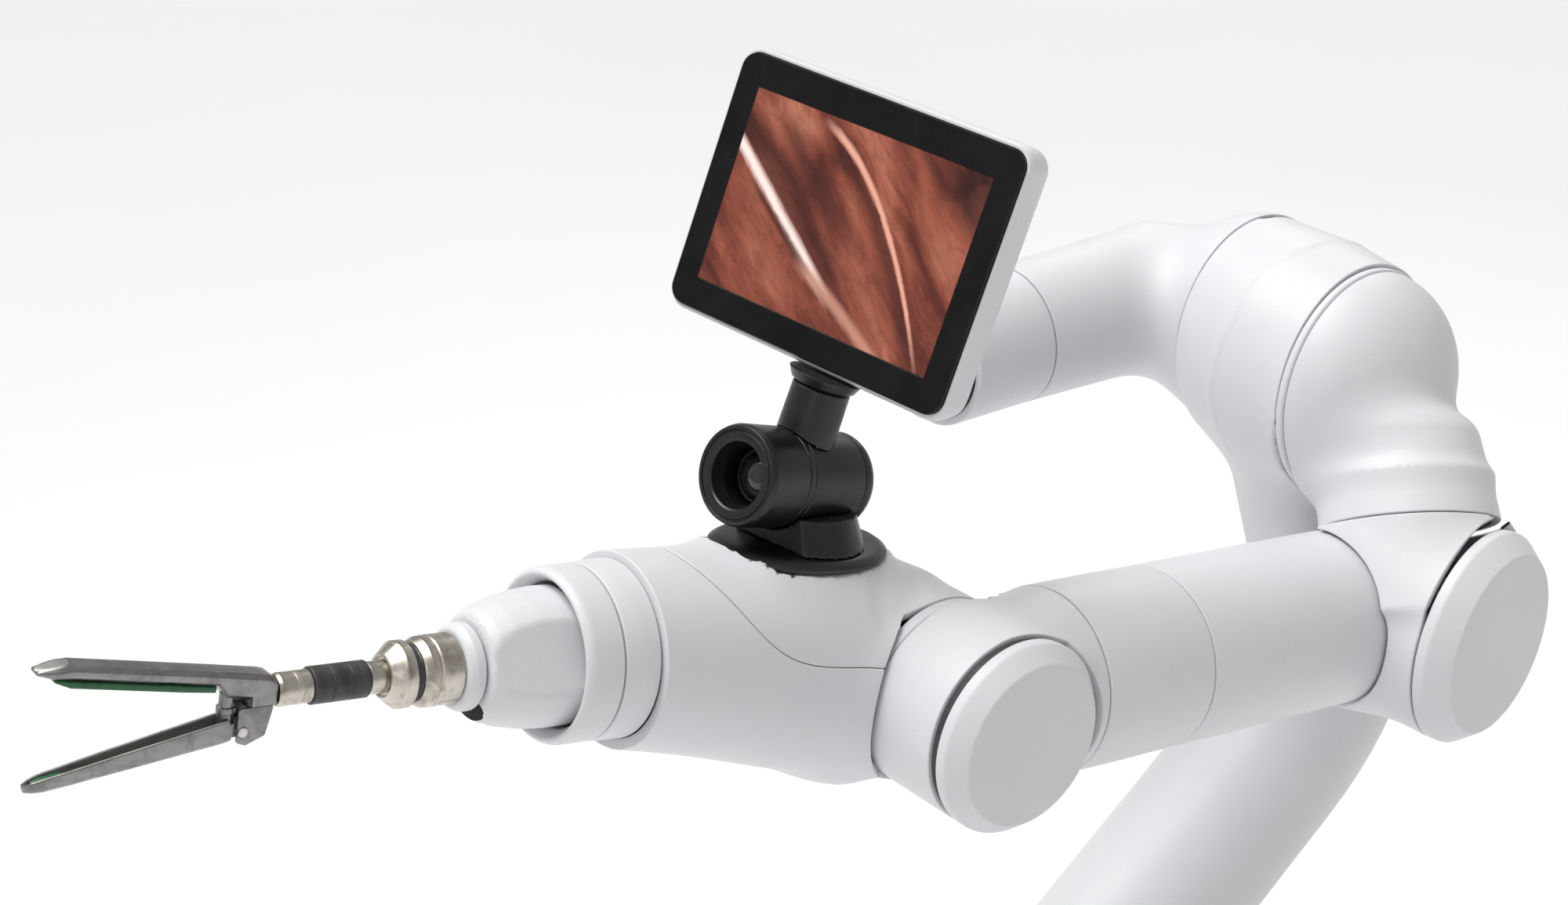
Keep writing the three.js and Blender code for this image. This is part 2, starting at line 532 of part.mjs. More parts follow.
function camera() {
  const at = (d) => CAMERA.centre.clone().addScaledVector(BARREL_AXIS, d);
  const r = CAMERA.r;
  const plateNormal = v(0.204, 0, 0.979).normalize();
  const saddleLow = PEDESTAL.clone().addScaledVector(plateNormal, 5 + GAP);
  const saddleTop = PEDESTAL.clone().addScaledVector(plateNormal, 19);
  const barrelSpace = frustum(at(-60), at(60), r + GAP, r + GAP, 48);
  add("camera_saddle", frustum(saddleLow, saddleTop, 19, 17, 32).subtract(barrelSpace), "dark");
  add("camera_barrel", frustum(at(-24), at(11), r, r, 48), "dark");
  const ring = frustum(at(11 + GAP), at(34), r + 0.3, r - 0.7, 48);
  add("camera_front_ring", ring.subtract(frustum(at(16), at(35), 12, 14.5)), "dark");
  add(
    "camera_lens",
    turned([[0, 16.5], [10.5, 16.5], [10.5, 19], [7, 22.5], [0, 24]], CAMERA.centre, BARREL_AXIS, 24),
    "glass",
  );
  const rear = [[0, -24.4], [r - 0.4, -24.4], [r - 0.4, -28], [r - 4, -32], [0, -32]].reverse();
  add("camera_rear_cap", turned(rear, CAMERA.centre, BARREL_AXIS, 40), "dark");
  const up = (d) => CAMERA.centre.clone().addScaledVector(STEM_AXIS, d);
  add("monitor_stem", frustum(up(8), up(40), 12.5, 12, 32).subtract(barrelSpace), "dark");
  add("monitor_foot", frustum(up(40 + GAP * 2), up(45.2), 14, 15.5, 32), "dark");
}

function monitor() {
  const across = STEM_AXIS.clone().cross(SCREEN_NORMAL).normalize();
  const facing = across.clone().cross(STEM_AXIS).normalize();
  const frame = (depth) => {
    const at = SCREEN_CENTRE.clone().addScaledVector(facing, -depth);
    return new THREE.Matrix4().makeTranslation(at.x, at.y, at.z).multiply(
      new THREE.Matrix4().makeBasis(across, STEM_AXIS, facing),
    );
  };
  const { width, height, depth, corner, activeWidth, activeHeight } = SCREEN;
  const opening = slab(activeWidth, activeHeight, 20, 1, frame(12), 2);
  add(
    "monitor_front_bezel",
    slab(width - 3, height - 3, 2.6, corner - 1.5, frame(2.6)).subtract(opening),
    "glass",
  );
  add("monitor_display", slab(activeWidth - 0.8, activeHeight - 0.8, 1.8, 0.8, frame(2.6), 2), "picture");
  const tray = slab(width, height, depth - 3, corner, frame(depth));
  add(
    "monitor_rear_shell",
    tray.subtract(slab(width - 5, height - 5, depth, corner - 2, frame(depth - 3))),
    "shell",
  );
  add("monitor_board", slab(120, 90, 4, 2, frame(10), 2), "metal");
}

base();
turret();
lowerArm();
frontLink();
rearLink();
elbow();
forearm();
wrist();
toolHead();
instrument();
upperJaw();
lowerJaw();
camera();
monitor();

export default arm;
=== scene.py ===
"""Looks of a jointed white robot arm with a clamp-jawed instrument, a small camera and a monitor.

Lengths are in millimetres until a mesh is made.
"""

import math

import bmesh
import bpy
import numpy as np
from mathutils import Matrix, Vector


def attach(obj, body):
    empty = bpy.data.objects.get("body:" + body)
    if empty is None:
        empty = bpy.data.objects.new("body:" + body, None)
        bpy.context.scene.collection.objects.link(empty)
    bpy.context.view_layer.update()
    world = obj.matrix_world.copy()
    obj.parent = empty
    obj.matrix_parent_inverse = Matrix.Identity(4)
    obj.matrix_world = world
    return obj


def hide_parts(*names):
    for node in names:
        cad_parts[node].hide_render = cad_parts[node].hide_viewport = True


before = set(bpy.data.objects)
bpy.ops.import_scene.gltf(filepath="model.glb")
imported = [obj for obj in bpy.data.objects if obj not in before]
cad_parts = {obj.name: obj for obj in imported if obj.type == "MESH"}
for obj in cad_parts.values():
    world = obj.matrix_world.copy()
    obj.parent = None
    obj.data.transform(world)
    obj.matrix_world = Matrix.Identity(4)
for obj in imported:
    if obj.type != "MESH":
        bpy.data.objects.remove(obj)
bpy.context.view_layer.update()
MM = 0.001


def vec(*v):
    return np.array(v, float)


def unit(v):
    v = np.asarray(v, float)
    return v / np.linalg.norm(v)


Y = vec(0, 1, 0)
Z = vec(0, 0, 1)
GAP = 0.4

# The places that the CAD's driving dimensions give.
SHOULDER = vec(0, 0, 140)
LINK_CORNER = vec(331, 0, 365)
TOP = vec(259, 0, 561)
FRONT_JOINT = vec(255, -37, 556)
REAR_JOINT = vec(264, 37, 566)
REAR_Y, REAR_Z, REAR_SEAM, REAR_END = 92, 570, 139.5, 88
ELBOW = vec(232, -84, 457)
ELBOW_CAP = vec(233, -136, 462)
ELBOW_AXIS = unit([0.11, -0.994, 0])
NECK = vec(235.5, -93, 502)
NECK_AXIS = unit([0.34, 0.46, 0.82])
WRIST = vec(-52, -84, 503)
DRUM = vec(-52, 0, 501)
DRUM_R = 41.5
FORE = unit(ELBOW - WRIST)
TOOL = vec(-190.6, -35, 551.7)
TOOL_AXIS = unit([-0.979, 0, 0.204])
LIFT = unit([0.204, 0, 0.979])
PEDESTAL = vec(-92, -28, 562)
CAMERA = vec(-92, -23, 592.5)
BARREL = unit([-0.934, -0.135, 0.331])
STEM = unit([0.342, -0.072, 0.937])
SCREEN = vec(-64.4, -18.9, 691.8)
SCREEN_NORMAL = unit([-0.902, -0.304, 0.306])


# ---------------------------------------------------------------- camera, light and floor


def add_camera():
    data = bpy.data.cameras.new("view")
    data.lens = 50
    data.sensor_width = 36
    camera = bpy.data.objects.new("view", data)
    camera.location = (-0.596, -0.6635, 0.9496)
    camera.rotation_euler = (math.radians(67), 0, math.radians(-38))
    data.clip_start = 0.02
    data.clip_end = 60
    bpy.context.scene.collection.objects.link(camera)
    bpy.context.scene.camera = camera


def add_area(name, place, target, size, power, colour=(1, 1, 1)):
    data = bpy.data.lights.new(name, "AREA")
    data.shape = "RECTANGLE"
    data.size, data.size_y = size
    data.energy = power
    data.color = colour
    lamp = bpy.data.objects.new(name, data)
    lamp.location = place
    lamp.rotation_euler = (Vector(target) - Vector(place)).to_track_quat("-Z", "Y").to_euler()
    bpy.context.scene.collection.objects.link(lamp)


def add_sun(name, lean, strength, spread):
    data = bpy.data.lights.new(name, "SUN")
    data.energy = strength
    data.angle = math.radians(spread)
    lamp = bpy.data.objects.new(name, data)
    lamp.rotation_euler = (math.radians(lean[0]), math.radians(lean[1]), 0)
    bpy.context.scene.collection.objects.link(lamp)


def add_stage():
    bpy.context.scene.view_settings.view_transform = "Standard"
    world = bpy.data.worlds.new("studio")
    bpy.context.scene.world = world
    world.use_nodes = True
    world.node_tree.nodes["Background"].inputs["Color"].default_value = (1, 1, 1, 1)
    world.node_tree.nodes["Background"].inputs["Strength"].default_value = 0.4
    add_sun("sky", (-20, -14), 2.15, 50)
    add_area("key", (-0.5, 0.1, 2.1), (0.1, 0, 0.45), (1.2, 0.7), 9)
    add_area("side", (-1.7, -1.0, 1.3), (0.0, 0, 0.5), (0.5, 1.2), 2.5)
    add_area("rim", (1.5, 0.9, 1.5), (0.1, 0, 0.5), (0.8, 0.8), 3)
    verts = [(-12, -12, 0), (12, -12, 0), (12, 12, 0), (-12, 12, 0)]
    mesh = bpy.data.meshes.new("floor")
    mesh.from_pydata(verts, [], [(0, 1, 2, 3)])
    floor = bpy.data.objects.new("floor", mesh)
    bpy.context.scene.collection.objects.link(floor)
    mesh.materials.append(floor_material())


# ---------------------------------------------------------------- materials


class Look:
    """A material made of a Principled shader and the nodes that vary it over the surface."""

    def __init__(self, name, colour, rough=0.4, metal=0.0, **sockets):
        self.material = bpy.data.materials.new(name)
        self.material.use_nodes = True
        self.tree = self.material.node_tree
        self.shader = self.tree.nodes["Principled BSDF"]
        self.set("Base Color", (*colour, 1))
        self.set("Roughness", rough)
        self.set("Metallic", metal)
        for socket, value in sockets.items():
            self.set(socket.replace("_", " "), value)
        self.place = self.node("ShaderNodeTexCoord").outputs["Object"]

    def set(self, socket, value):
        self.shader.inputs[socket].default_value = value

    def node(self, kind, **settings):
        made = self.tree.nodes.new(kind)
        for key, value in settings.items():
            setattr(made, key, value)
        return made

    def link(self, out, socket):
        self.tree.links.new(out, socket)

    def math(self, operation, a, b=0.0, c=0.0):
        n = self.node("ShaderNodeMath", operation=operation)
        for i, value in enumerate((a, b, c)):
            if isinstance(value, (int, float)):
                n.inputs[i].default_value = value
            else:
                self.link(value, n.inputs[i])
        return n.outputs[0]

    def along(self, direction, scale):
        """How far a point lies along a direction, times a scale."""
        n = self.node("ShaderNodeVectorMath", operation="DOT_PRODUCT")
        n.inputs[1].default_value = tuple(float(x) * scale for x in direction)
        self.link(self.place, n.inputs[0])
        return n.outputs["Value"]

    def stretched(self, axes_and_scales):
        """Coordinates stretched along three directions."""
        n = self.node("ShaderNodeCombineXYZ")
        for i, (direction, scale) in enumerate(axes_and_scales):
            self.link(self.along(direction, scale), n.inputs[i])
        return n.outputs[0]

    def noise(self, scale, detail=3.0, rough=0.55, place=None, distortion=0.0):
        n = self.node("ShaderNodeTexNoise")
        n.inputs["Scale"].default_value = scale
        n.inputs["Detail"].default_value = detail
        n.inputs["Roughness"].default_value = rough
        n.inputs["Distortion"].default_value = distortion
        self.link(self.place if place is None else place, n.inputs["Vector"])
        return n.outputs["Fac"]

    def ramp(self, fac, stops):
        n = self.node("ShaderNodeValToRGB")
        elements = n.color_ramp.elements
        while len(elements) < len(stops):
            elements.new(0.5)
        for element, (at, colour) in zip(elements, stops):
            element.position = at
            element.color = (*colour, 1) if len(colour) == 3 else colour
        self.link(fac, n.inputs["Fac"])
        return n.outputs["Color"]

    def between(self, fac, low, high, start=0.3, end=0.7):
        n = self.node("ShaderNodeMapRange")
        for i, value in enumerate((start, end, low, high)):
            n.inputs[i + 1].default_value = value
        self.link(fac, n.inputs[0])
        return n.outputs[0]

    def mix(self, fac, a, b):
        n = self.node("ShaderNodeMix", data_type="RGBA")
        if isinstance(fac, (int, float)):
            n.inputs[0].default_value = fac
        else:
            self.link(fac, n.inputs[0])
        for i, value in ((6, a), (7, b)):
            if isinstance(value, tuple):
                n.inputs[i].default_value = (*value, 1)
            else:
                self.link(value, n.inputs[i])
        return n.outputs[2]

    def bump(self, *heights):
        """Each height is (output, distance in millimetres, strength)."""
        last = None
        for height, distance, strength in heights:
            n = self.node("ShaderNodeBump")
            n.inputs["Distance"].default_value = distance * MM
            n.inputs["Strength"].default_value = strength
            self.link(height, n.inputs["Height"])
            if last is not None:
                self.link(last, n.inputs["Normal"])
            last = n.outputs["Normal"]
        self.link(last, self.shader.inputs["Normal"])

    def colour(self, out):
        self.link(out, self.shader.inputs["Base Color"])

    def roughness(self, out):
        self.link(out, self.shader.inputs["Roughness"])


def shell_material(name="white_shell", tone=1.0):
    """Satin white powder coat: a fine speckle, a slight orange peel and faint handling marks."""
    look = Look(name, (0.8, 0.81, 0.83), 0.42, Specular_IOR_Level=0.45)
    clouds = look.noise(9, 4, 0.6)
    speck = look.noise(1500, 2, 0.6)
    light = (0.69 * tone, 0.70 * tone, 0.715 * tone)
    dark = (0.66 * tone, 0.67 * tone, 0.687 * tone)
    base = look.ramp(clouds, [(0.35, dark), (0.65, light)])
    grain = look.ramp(speck, [(0.3, (0.93, 0.93, 0.935)), (0.6, (1, 1, 1))])
    n = look.node("ShaderNodeMix", data_type="RGBA", blend_type="MULTIPLY")
    n.inputs[0].default_value = 0.6
    look.link(base, n.inputs[6])
    look.link(grain, n.inputs[7])
    look.colour(n.outputs[2])
    marks = look.noise(38, 5, 0.65, distortion=0.6)
    look.roughness(look.between(marks, 0.36, 0.5))
    look.bump((look.noise(120, 2, 0.5), 0.25, 0.05), (speck, 0.06, 0.16))
    return look.material


def seal_material():
    look = Look("dark_seal", (0.035, 0.036, 0.04), 0.6)
    grain = look.noise(900, 3)
    look.colour(look.ramp(grain, [(0.3, (0.025, 0.026, 0.03)), (0.7, (0.05, 0.05, 0.055))]))
    look.roughness(look.between(look.noise(160, 3), 0.5, 0.72))
    look.bump((grain, 0.05, 0.3))
    return look.material


def black_material(name, rough=0.36, tone=0.016, wear=0.09):
    """Satin black anodised or painted metal, paler where its edges are rubbed."""
    look = Look(name, (tone, tone, tone * 1.05), rough, Specular_IOR_Level=0.5)
    grain = look.noise(1100, 3)
    edge = look.node("ShaderNodeNewGeometry").outputs["Pointiness"]
    scuffs = look.noise(170, 5, 0.7)
    rubbed = look.math("MULTIPLY", look.between(edge, 0, 1, 0.52, 0.62), look.between(scuffs, 0.2, 1, 0.4,
        0.6))
    base = look.ramp(grain, [(0.3, (tone * 0.8,) * 3), (0.7, (tone * 1.25,) * 3)])
    look.colour(look.mix(rubbed, base, (wear, wear, wear)))
    look.roughness(look.between(look.noise(70, 4), rough - 0.06, rough + 0.1))
    look.bump((grain, 0.04, 0.22))
    return look.material


def brushed_material(name, light, dark, axis, across, rough=(0.22, 0.42), stain=0.5, pitch=900):
    """Metal with fine brushing: the lines run across the given axis. Stains and scratches break it up."""
    look = Look(name, light, rough[0], 1.0)
    third = np.cross(axis, across)
    lines = look.noise(1.0, 3, 0.6, look.stretched([(axis, pitch), (across, 14), (third, 14)]))
    blotch = look.noise(110, 5, 0.65, distortion=0.8)
    fine = look.noise(700, 4, 0.7)
    base = look.ramp(lines, [(0.25, tuple(0.8 * x for x in light)), (0.75, light)])
    worn = look.between(blotch, 0, stain, 0.46, 0.66)
    look.colour(look.mix(worn, base, dark))
    look.roughness(look.math("ADD", look.between(lines, rough[0], rough[1]), look.between(blotch, -0.03,
        0.14)))
    look.bump((lines, 0.03, 0.3), (fine, 0.02, 0.25))
    return look.material


def machined_material(name, light, rough=0.32):
    look = Look(name, light, rough, 1.0)
    rings = look.noise(1.0, 2, 0.5, look.stretched([(Z, 1500), (vec(1, 0, 0), 20), (Y, 20)]))
    patch = look.noise(60, 4, 0.6)
    look.colour(look.ramp(patch, [(0.3, tuple(0.86 * x for x in light)), (0.7, light)]))
    look.roughness(look.between(rings, rough - 0.05, rough + 0.12))
    look.bump((rings, 0.02, 0.25))
    return look.material


def pad_material():
    """Moulded dark green plastic with fine cross ribs."""
    look = Look("green_pad", (0.02, 0.11, 0.045), 0.5)
    ribs = look.math("SINE", look.along(TOOL_AXIS, 5200))
    grain = look.noise(600, 4)
    look.colour(look.ramp(grain, [(0.3, (0.012, 0.075, 0.03)), (0.7, (0.03, 0.15, 0.06))]))
    look.roughness(look.between(grain, 0.4, 0.62))
    look.bump((ribs, 0.06, 0.5), (grain, 0.03, 0.3))
    return look.material


def glass_material():
    look = Look("lens_glass", (0.012, 0.012, 0.016), 0.05, Coat_Weight=1.0, Coat_Roughness=0.02)
    dust = look.noise(420, 4, 0.6)
    look.colour(look.ramp(dust, [(0.4, (0.008, 0.008, 0.011)), (0.75, (0.03, 0.03, 0.036))]))
    look.roughness(look.between(dust, 0.04, 0.12))
    look.bump((look.noise(60, 2), 0.01, 0.05))
    return look.material


def front_material():
    """Black cover glass with faint smears."""
    look = Look("cover_glass", (0.004, 0.004, 0.005), 0.16, Specular_IOR_Level=0.25)
    smear = look.noise(26, 5, 0.6, distortion=1.4)
    look.colour(look.ramp(smear, [(0.35, (0.004, 0.004, 0.005)), (0.7, (0.009, 0.009, 0.01))]))
    look.roughness(look.between(smear, 0.13, 0.28))
    look.bump((look.noise(900, 2), 0.01, 0.06))
    return look.material


def board_material():
    look = Look("board", (0.02, 0.09, 0.05), 0.5)
    tracks = look.noise(220, 2, 0.4)
    look.colour(look.ramp(tracks, [(0.45, (0.012, 0.06, 0.035)), (0.55, (0.03, 0.13, 0.07))]))
    look.roughness(look.between(tracks, 0.4, 0.6))
    look.bump((tracks, 0.05, 0.3))
    return look.material


def floor_material():
    look = Look("pale_floor", (0.86, 0.86, 0.865), 0.75, Specular_IOR_Level=0.2)
    clouds = look.noise(1.2, 3)
    look.colour(look.ramp(clouds, [(0.3, (0.855, 0.855, 0.86)), (0.7, (0.87, 0.87, 0.875))]))
    look.roughness(look.between(look.noise(30, 3), 0.7, 0.85))
    look.bump((look.noise(200, 3), 0.1, 0.05))
    return look.material


def display_material():
    """A lit panel with a made-up picture of folds and strands, drawn in the display's own coordinates."""
    look = Look("lit_display", (0.3, 0.09, 0.06), 0.3)
    u = look.node("ShaderNodeUVMap").outputs["UV"]
    split = look.node("ShaderNodeSeparateXYZ")
    look.link(u, split.inputs[0])
    x, y = split.outputs[0], split.outputs[1]
    join = look.node("ShaderNodeCombineXYZ")
    # across the folds the picture changes fast, and along them slowly
    down = look.math("ADD", look.math("MULTIPLY", x, 0.62), look.math("MULTIPLY", y, -0.78))
    over = look.math("ADD", look.math("MULTIPLY", x, 0.78), look.math("MULTIPLY", y, 0.62))
    look.link(look.math("MULTIPLY", down, 1.3), join.inputs[0])
    look.link(look.math("MULTIPLY", over, 4.6), join.inputs[1])
    folds = look.noise(0.9, 2, 0.4, join.outputs[0], 0.7)
    fibres = look.noise(4.2, 8, 0.7, join.outputs[0], 1.6)
    patches = look.noise(2.1, 3, 0.5, u, 0.4)
    stops = [(0.3, (0.016, 0.002, 0.002)), (0.42, (0.09, 0.018, 0.011)), (0.53, (0.2, 0.052, 0.03)),
        (0.68, (0.34, 0.125, 0.076))]
    tissue = look.ramp(folds, stops)
    warm = look.ramp(fibres, [(0.3, (0.5, 0.42, 0.4)), (0.55, (1, 0.96, 0.94)), (0.75, (1.25, 1.2, 1.15))])
    n = look.node("ShaderNodeMix", data_type="RGBA", blend_type="MULTIPLY")
    n.inputs[0].default_value = 0.85
    look.link(tissue, n.inputs[6])
    look.link(warm, n.inputs[7])
    colour = look.mix(look.between(patches, 0, 0.4, 0.5, 0.75), n.outputs[2], (0.3, 0.09, 0.05))

    def strand(colour, a, b, c, half, tone, weight, start, end):
        """A band along y = a x^2 + b x + c, fading at its ends."""
        line = look.math("ADD", look.math("MULTIPLY", look.math("MULTIPLY", x, x), a), look.math("MULTIPLY",
            x, b))
        line = look.math("ADD", line, c)
        wobble = look.math("MULTIPLY", look.math("SUBTRACT", fibres, 0.5), 0.03)
        far = look.math("ABSOLUTE", look.math("ADD", look.math("SUBTRACT", y, line), wobble))
        fac = look.between(far, weight, 0, half * 0.25, half)
        fade = look.math("MULTIPLY", look.between(x, 0, 1, start, start + 0.1), look.between(x, 1, 0,
            end - 0.12, end))
        return look.mix(look.math("MULTIPLY", fac, fade), colour, tone)

    shade, pale, pink = (0.035, 0.006, 0.004), (0.78, 0.6, 0.55), (0.62, 0.3, 0.22)
    colour = strand(colour, 0.1, -1.12, 0.83, 0.16, shade, 0.75, -0.1, 0.62)
    colour = strand(colour, 0.0, -1.05, 0.72, 0.05, pale, 0.9, -0.1, 0.56)
    colour = strand(colour, 0.2, -1.05, 0.66, 0.035, shade, 0.8, 0.05, 0.7)
    colour = strand(colour, -1.6, 0.5, 0.92, 0.1, shade, 0.6, 0.3, 0.98)
    colour = strand(colour, -1.6, 0.55, 0.95, 0.03, pink, 0.9, 0.3, 0.98)
    colour = strand(colour, 0.6, -1.5, 1.12, 0.12, shade, 0.55, 0.1, 0.6)
    colour = strand(colour, -0.4, -0.25, 0.42, 0.05, pink, 0.5, 0.35, 0.9)
    look.colour(colour)
    look.link(colour, look.shader.inputs["Emission Color"])
    look.set("Emission Strength", 0.55)
    look.roughness(look.between(fibres, 0.2, 0.4))
    look.bump((fibres, 0.02, 0.1))
    return look.material


# ---------------------------------------------------------------- mesh tools


def piece(name, verts, faces, material, body, stands_for=(), normals=None, sharp=38, uv=None):
    """A mesh object from millimetre vertices, riding on a body and standing for CAD nodes."""
    mesh = bpy.data.meshes.new(name)
    mesh.from_pydata((np.asarray(verts, float) * MM).tolist(), [], [tuple(map(int, f)) for f in faces])
    if normals is None:
        work = bmesh.new()
        work.from_mesh(mesh)
        bmesh.ops.recalc_face_normals(work, faces=work.faces[:])
        work.to_mesh(mesh)
        work.free()
    mesh.shade_smooth()
    if normals is None:
        mesh.set_sharp_from_angle(angle=math.radians(sharp))
    else:
        mesh.normals_split_custom_set_from_vertices(normals.tolist())
    if uv is not None:
        layer = mesh.uv_layers.new(name="UVMap")
        index = np.zeros(len(mesh.loops), int)
        mesh.loops.foreach_get("vertex_index", index)
        layer.data.foreach_set("uv", np.asarray(uv, np.float32)[index].ravel())
    mesh.materials.append(material)
    made = bpy.data.objects.new(name, mesh)
    bpy.context.scene.collection.objects.link(made)
    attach(made, body)
    if stands_for:
        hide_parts(*([stands_for] if isinstance(stands_for, str) else stands_for))
    return made


def basis(axis, up=None):
    """Two directions across an axis."""
    axis = unit(axis)
    start = up if up is not None else (Z if abs(axis[2]) < 0.9 else vec(1, 0, 0))
    u = unit(np.cross(start, axis))
    return u, np.cross(axis, u)


def filleted(points, radius, steps=4, closed=False):
    """An outline whose corners are arcs. A radius may be one number or one for each point."""
    points = [np.asarray(p, float) for p in points]
    radii = [radius] * len(points) if np.isscalar(radius) else list(radius)
    made = []
    for i, p in enumerate(points):
        if not closed and i in (0, len(points) - 1):
            made.append(p)
            continue
        a, b = points[i - 1] - p, points[(i + 1) % len(points)] - p
        la, lb = np.linalg.norm(a), np.linalg.norm(b)
        a, b = a / la, b / lb
        angle = math.acos(np.clip(a @ b, -1, 1))
        r = radii[i]
        if r <= 0 or angle > math.radians(176):
            made.append(p)
            continue
        reach = min(r / math.tan(angle / 2), 0.45 * la, 0.45 * lb)
        r = reach * math.tan(angle / 2)
        centre = p + unit(a + b) * (r / math.sin(angle / 2))
        start, end = p + a * reach - centre, p + b * reach - centre
        turn = math.pi - angle
        for k in range(steps + 1):
            s = k / steps
            d = (math.sin((1 - s) * turn) * start + math.sin(s * turn) * end) / math.sin(turn)
            made.append(centre + d)
    return np.array(made)


def lathe(name, profile, point, axis, material, body, stands_for=(), radius=0.6, count=128,
    closed=False,
          steps=4, shape=None, sharp=38, start=0.0):
    """A turned piece: profile points are (radius, distance along the axis)."""
    outline = filleted(profile, radius, steps, closed)
    u, w = basis(axis)
    axis = unit(axis)
    verts, rings = [], []
    angles = np.arange(count) * 2 * math.pi / count + start
    for r, t in outline:
        if r < 1e-6:
            rings.append([len(verts)])
            verts.append(point + axis * t)
            continue
        rings.append(list(range(len(verts), len(verts) + count)))
        reach = np.full(count, r) if shape is None else np.array([shape(r, t, a) for a in angles])
        for a, q in zip(angles, reach):
            verts.append(point + axis * t + (u * math.cos(a) + w * math.sin(a)) * q)
    faces = []
    pairs = list(zip(rings, rings[1:])) + ([(rings[-1], rings[0])] if closed else [])
    for one, two in pairs:
        for i in range(count):
            k = (i + 1) % count
            if len(one) == 1 and len(two) == 1:
                continue
            if len(one) == 1:
                faces.append((one[0], two[i], two[k]))
            elif len(two) == 1:
                faces.append((one[i], one[k], two[0]))
            else:
                faces.append((one[i], one[k], two[k], two[i]))
    return piece(name, verts, faces, material, body, stands_for, sharp=sharp)


def prism(name, outline, half, origin, forward, up, material, body, stands_for=(), bevel=0.35,
    corner=0.4,
          taper=None, segments=2):
    """An outline of (forward, up) points, extruded to both sides and bevelled.

    taper gives each point its own half width.
    """
    outline = filleted(outline, corner, 3, True)
    side = np.cross(forward, up)
    work = bmesh.new()
    rows = []
    for sign in (-1, 1):
        row = []
        for f, g in outline:
            reach = half if taper is None else taper(f, g)
            p = (origin + forward * f + up * g + side * (sign * reach)) * MM
            row.append(work.verts.new(p))
        rows.append(row)
    work.faces.new(rows[0])
    work.faces.new(list(reversed(rows[1])))
    n = len(outline)
    for i in range(n):
        k = (i + 1) % n
        work.faces.new((rows[0][i], rows[1][i], rows[1][k], rows[0][k]))
    bmesh.ops.recalc_face_normals(work, faces=work.faces[:])
    if bevel > 0:
        rim = [e for e in work.edges if abs(e.calc_face_angle(0)) > math.radians(35)]
        bmesh.ops.bevel(work, geom=rim, offset=bevel * MM, segments=segments, profile=0.5, affect="EDGES",
            clamp_overlap=True)
    bmesh.ops.triangulate(work, faces=[f for f in work.faces if len(f.verts) > 4])
    verts = np.array([v.co[:] for v in work.verts]) / MM
    work.verts.index_update()
    faces = [[v.index for v in f.verts] for f in work.faces]
    work.free()
    return piece(name, verts, faces, material, body, stands_for, sharp=30)


# ---------------------------------------------------------------- smooth solids as distance fields


def smooth_min(a, b, k):
    h = np.clip(0.5 + 0.5 * (b - a) / k, 0, 1)
    return b * (1 - h) + a * h - k * h * (1 - h)


def smooth_max(a, b, k):
    return -smooth_min(-a, -b, k)


def cone(P, a, b, ra, rb, edge=0.0):
    """Distance to a frustum between two points, with rounded edges."""
    axis = b - a
    length = np.linalg.norm(axis)
    axis = axis / length
    q = P - a
    t = q @ axis
    rho = np.linalg.norm(q - t[:, None] * axis, axis=1)
    slope = (rb - ra) / length
    radial = (rho - (ra + slope * t)) / math.sqrt(1 + slope * slope) + edge
    ends = np.maximum(-t, t - length) + edge
    outside = np.hypot(np.maximum(radial, 0), np.maximum(ends, 0))
    return np.minimum(np.maximum(radial, ends), 0) + outside - edge


def ellipsoid(P, centre, axis, across, along):
    q = P - centre
    t = q @ axis
    rho = np.linalg.norm(q - t[:, None] * axis, axis=1)
    k0 = np.hypot(rho / across, t / along)
    k1 = np.hypot(rho / across**2, t / along**2)
    return k0 * (k0 - 1) / np.maximum(k1, 1e-9)


def tube(P, path, radii):
    """Distance to a tube along a polyline."""
    best = np.full(len(P), 1e9)
    for (a, b), (ra, rb) in zip(zip(path, path[1:]), zip(radii, radii[1:])):
        d = b - a
        s = np.clip(((P - a) @ d) / (d @ d), 0, 1)
        gap = np.linalg.norm(P - a - s[:, None] * d, axis=1) - (ra + s * (rb - ra))
        best = np.minimum(best, gap)
    return best


def slope_of(f, P, h=0.05):
    made = np.empty_like(P)
    for i in range(3):
        step = np.zeros(3)
        step[i] = h
        made[:, i] = (f(P + step) - f(P - step)) / (2 * h)
    return made


def onto(f, P, rounds=3):
    """Moves points onto the surface where f is 0."""
    for _ in range(rounds):
        g = slope_of(f, P)
        P = P - g * (f(P) / np.maximum((g * g).sum(1), 1e-6))[:, None]
    return P


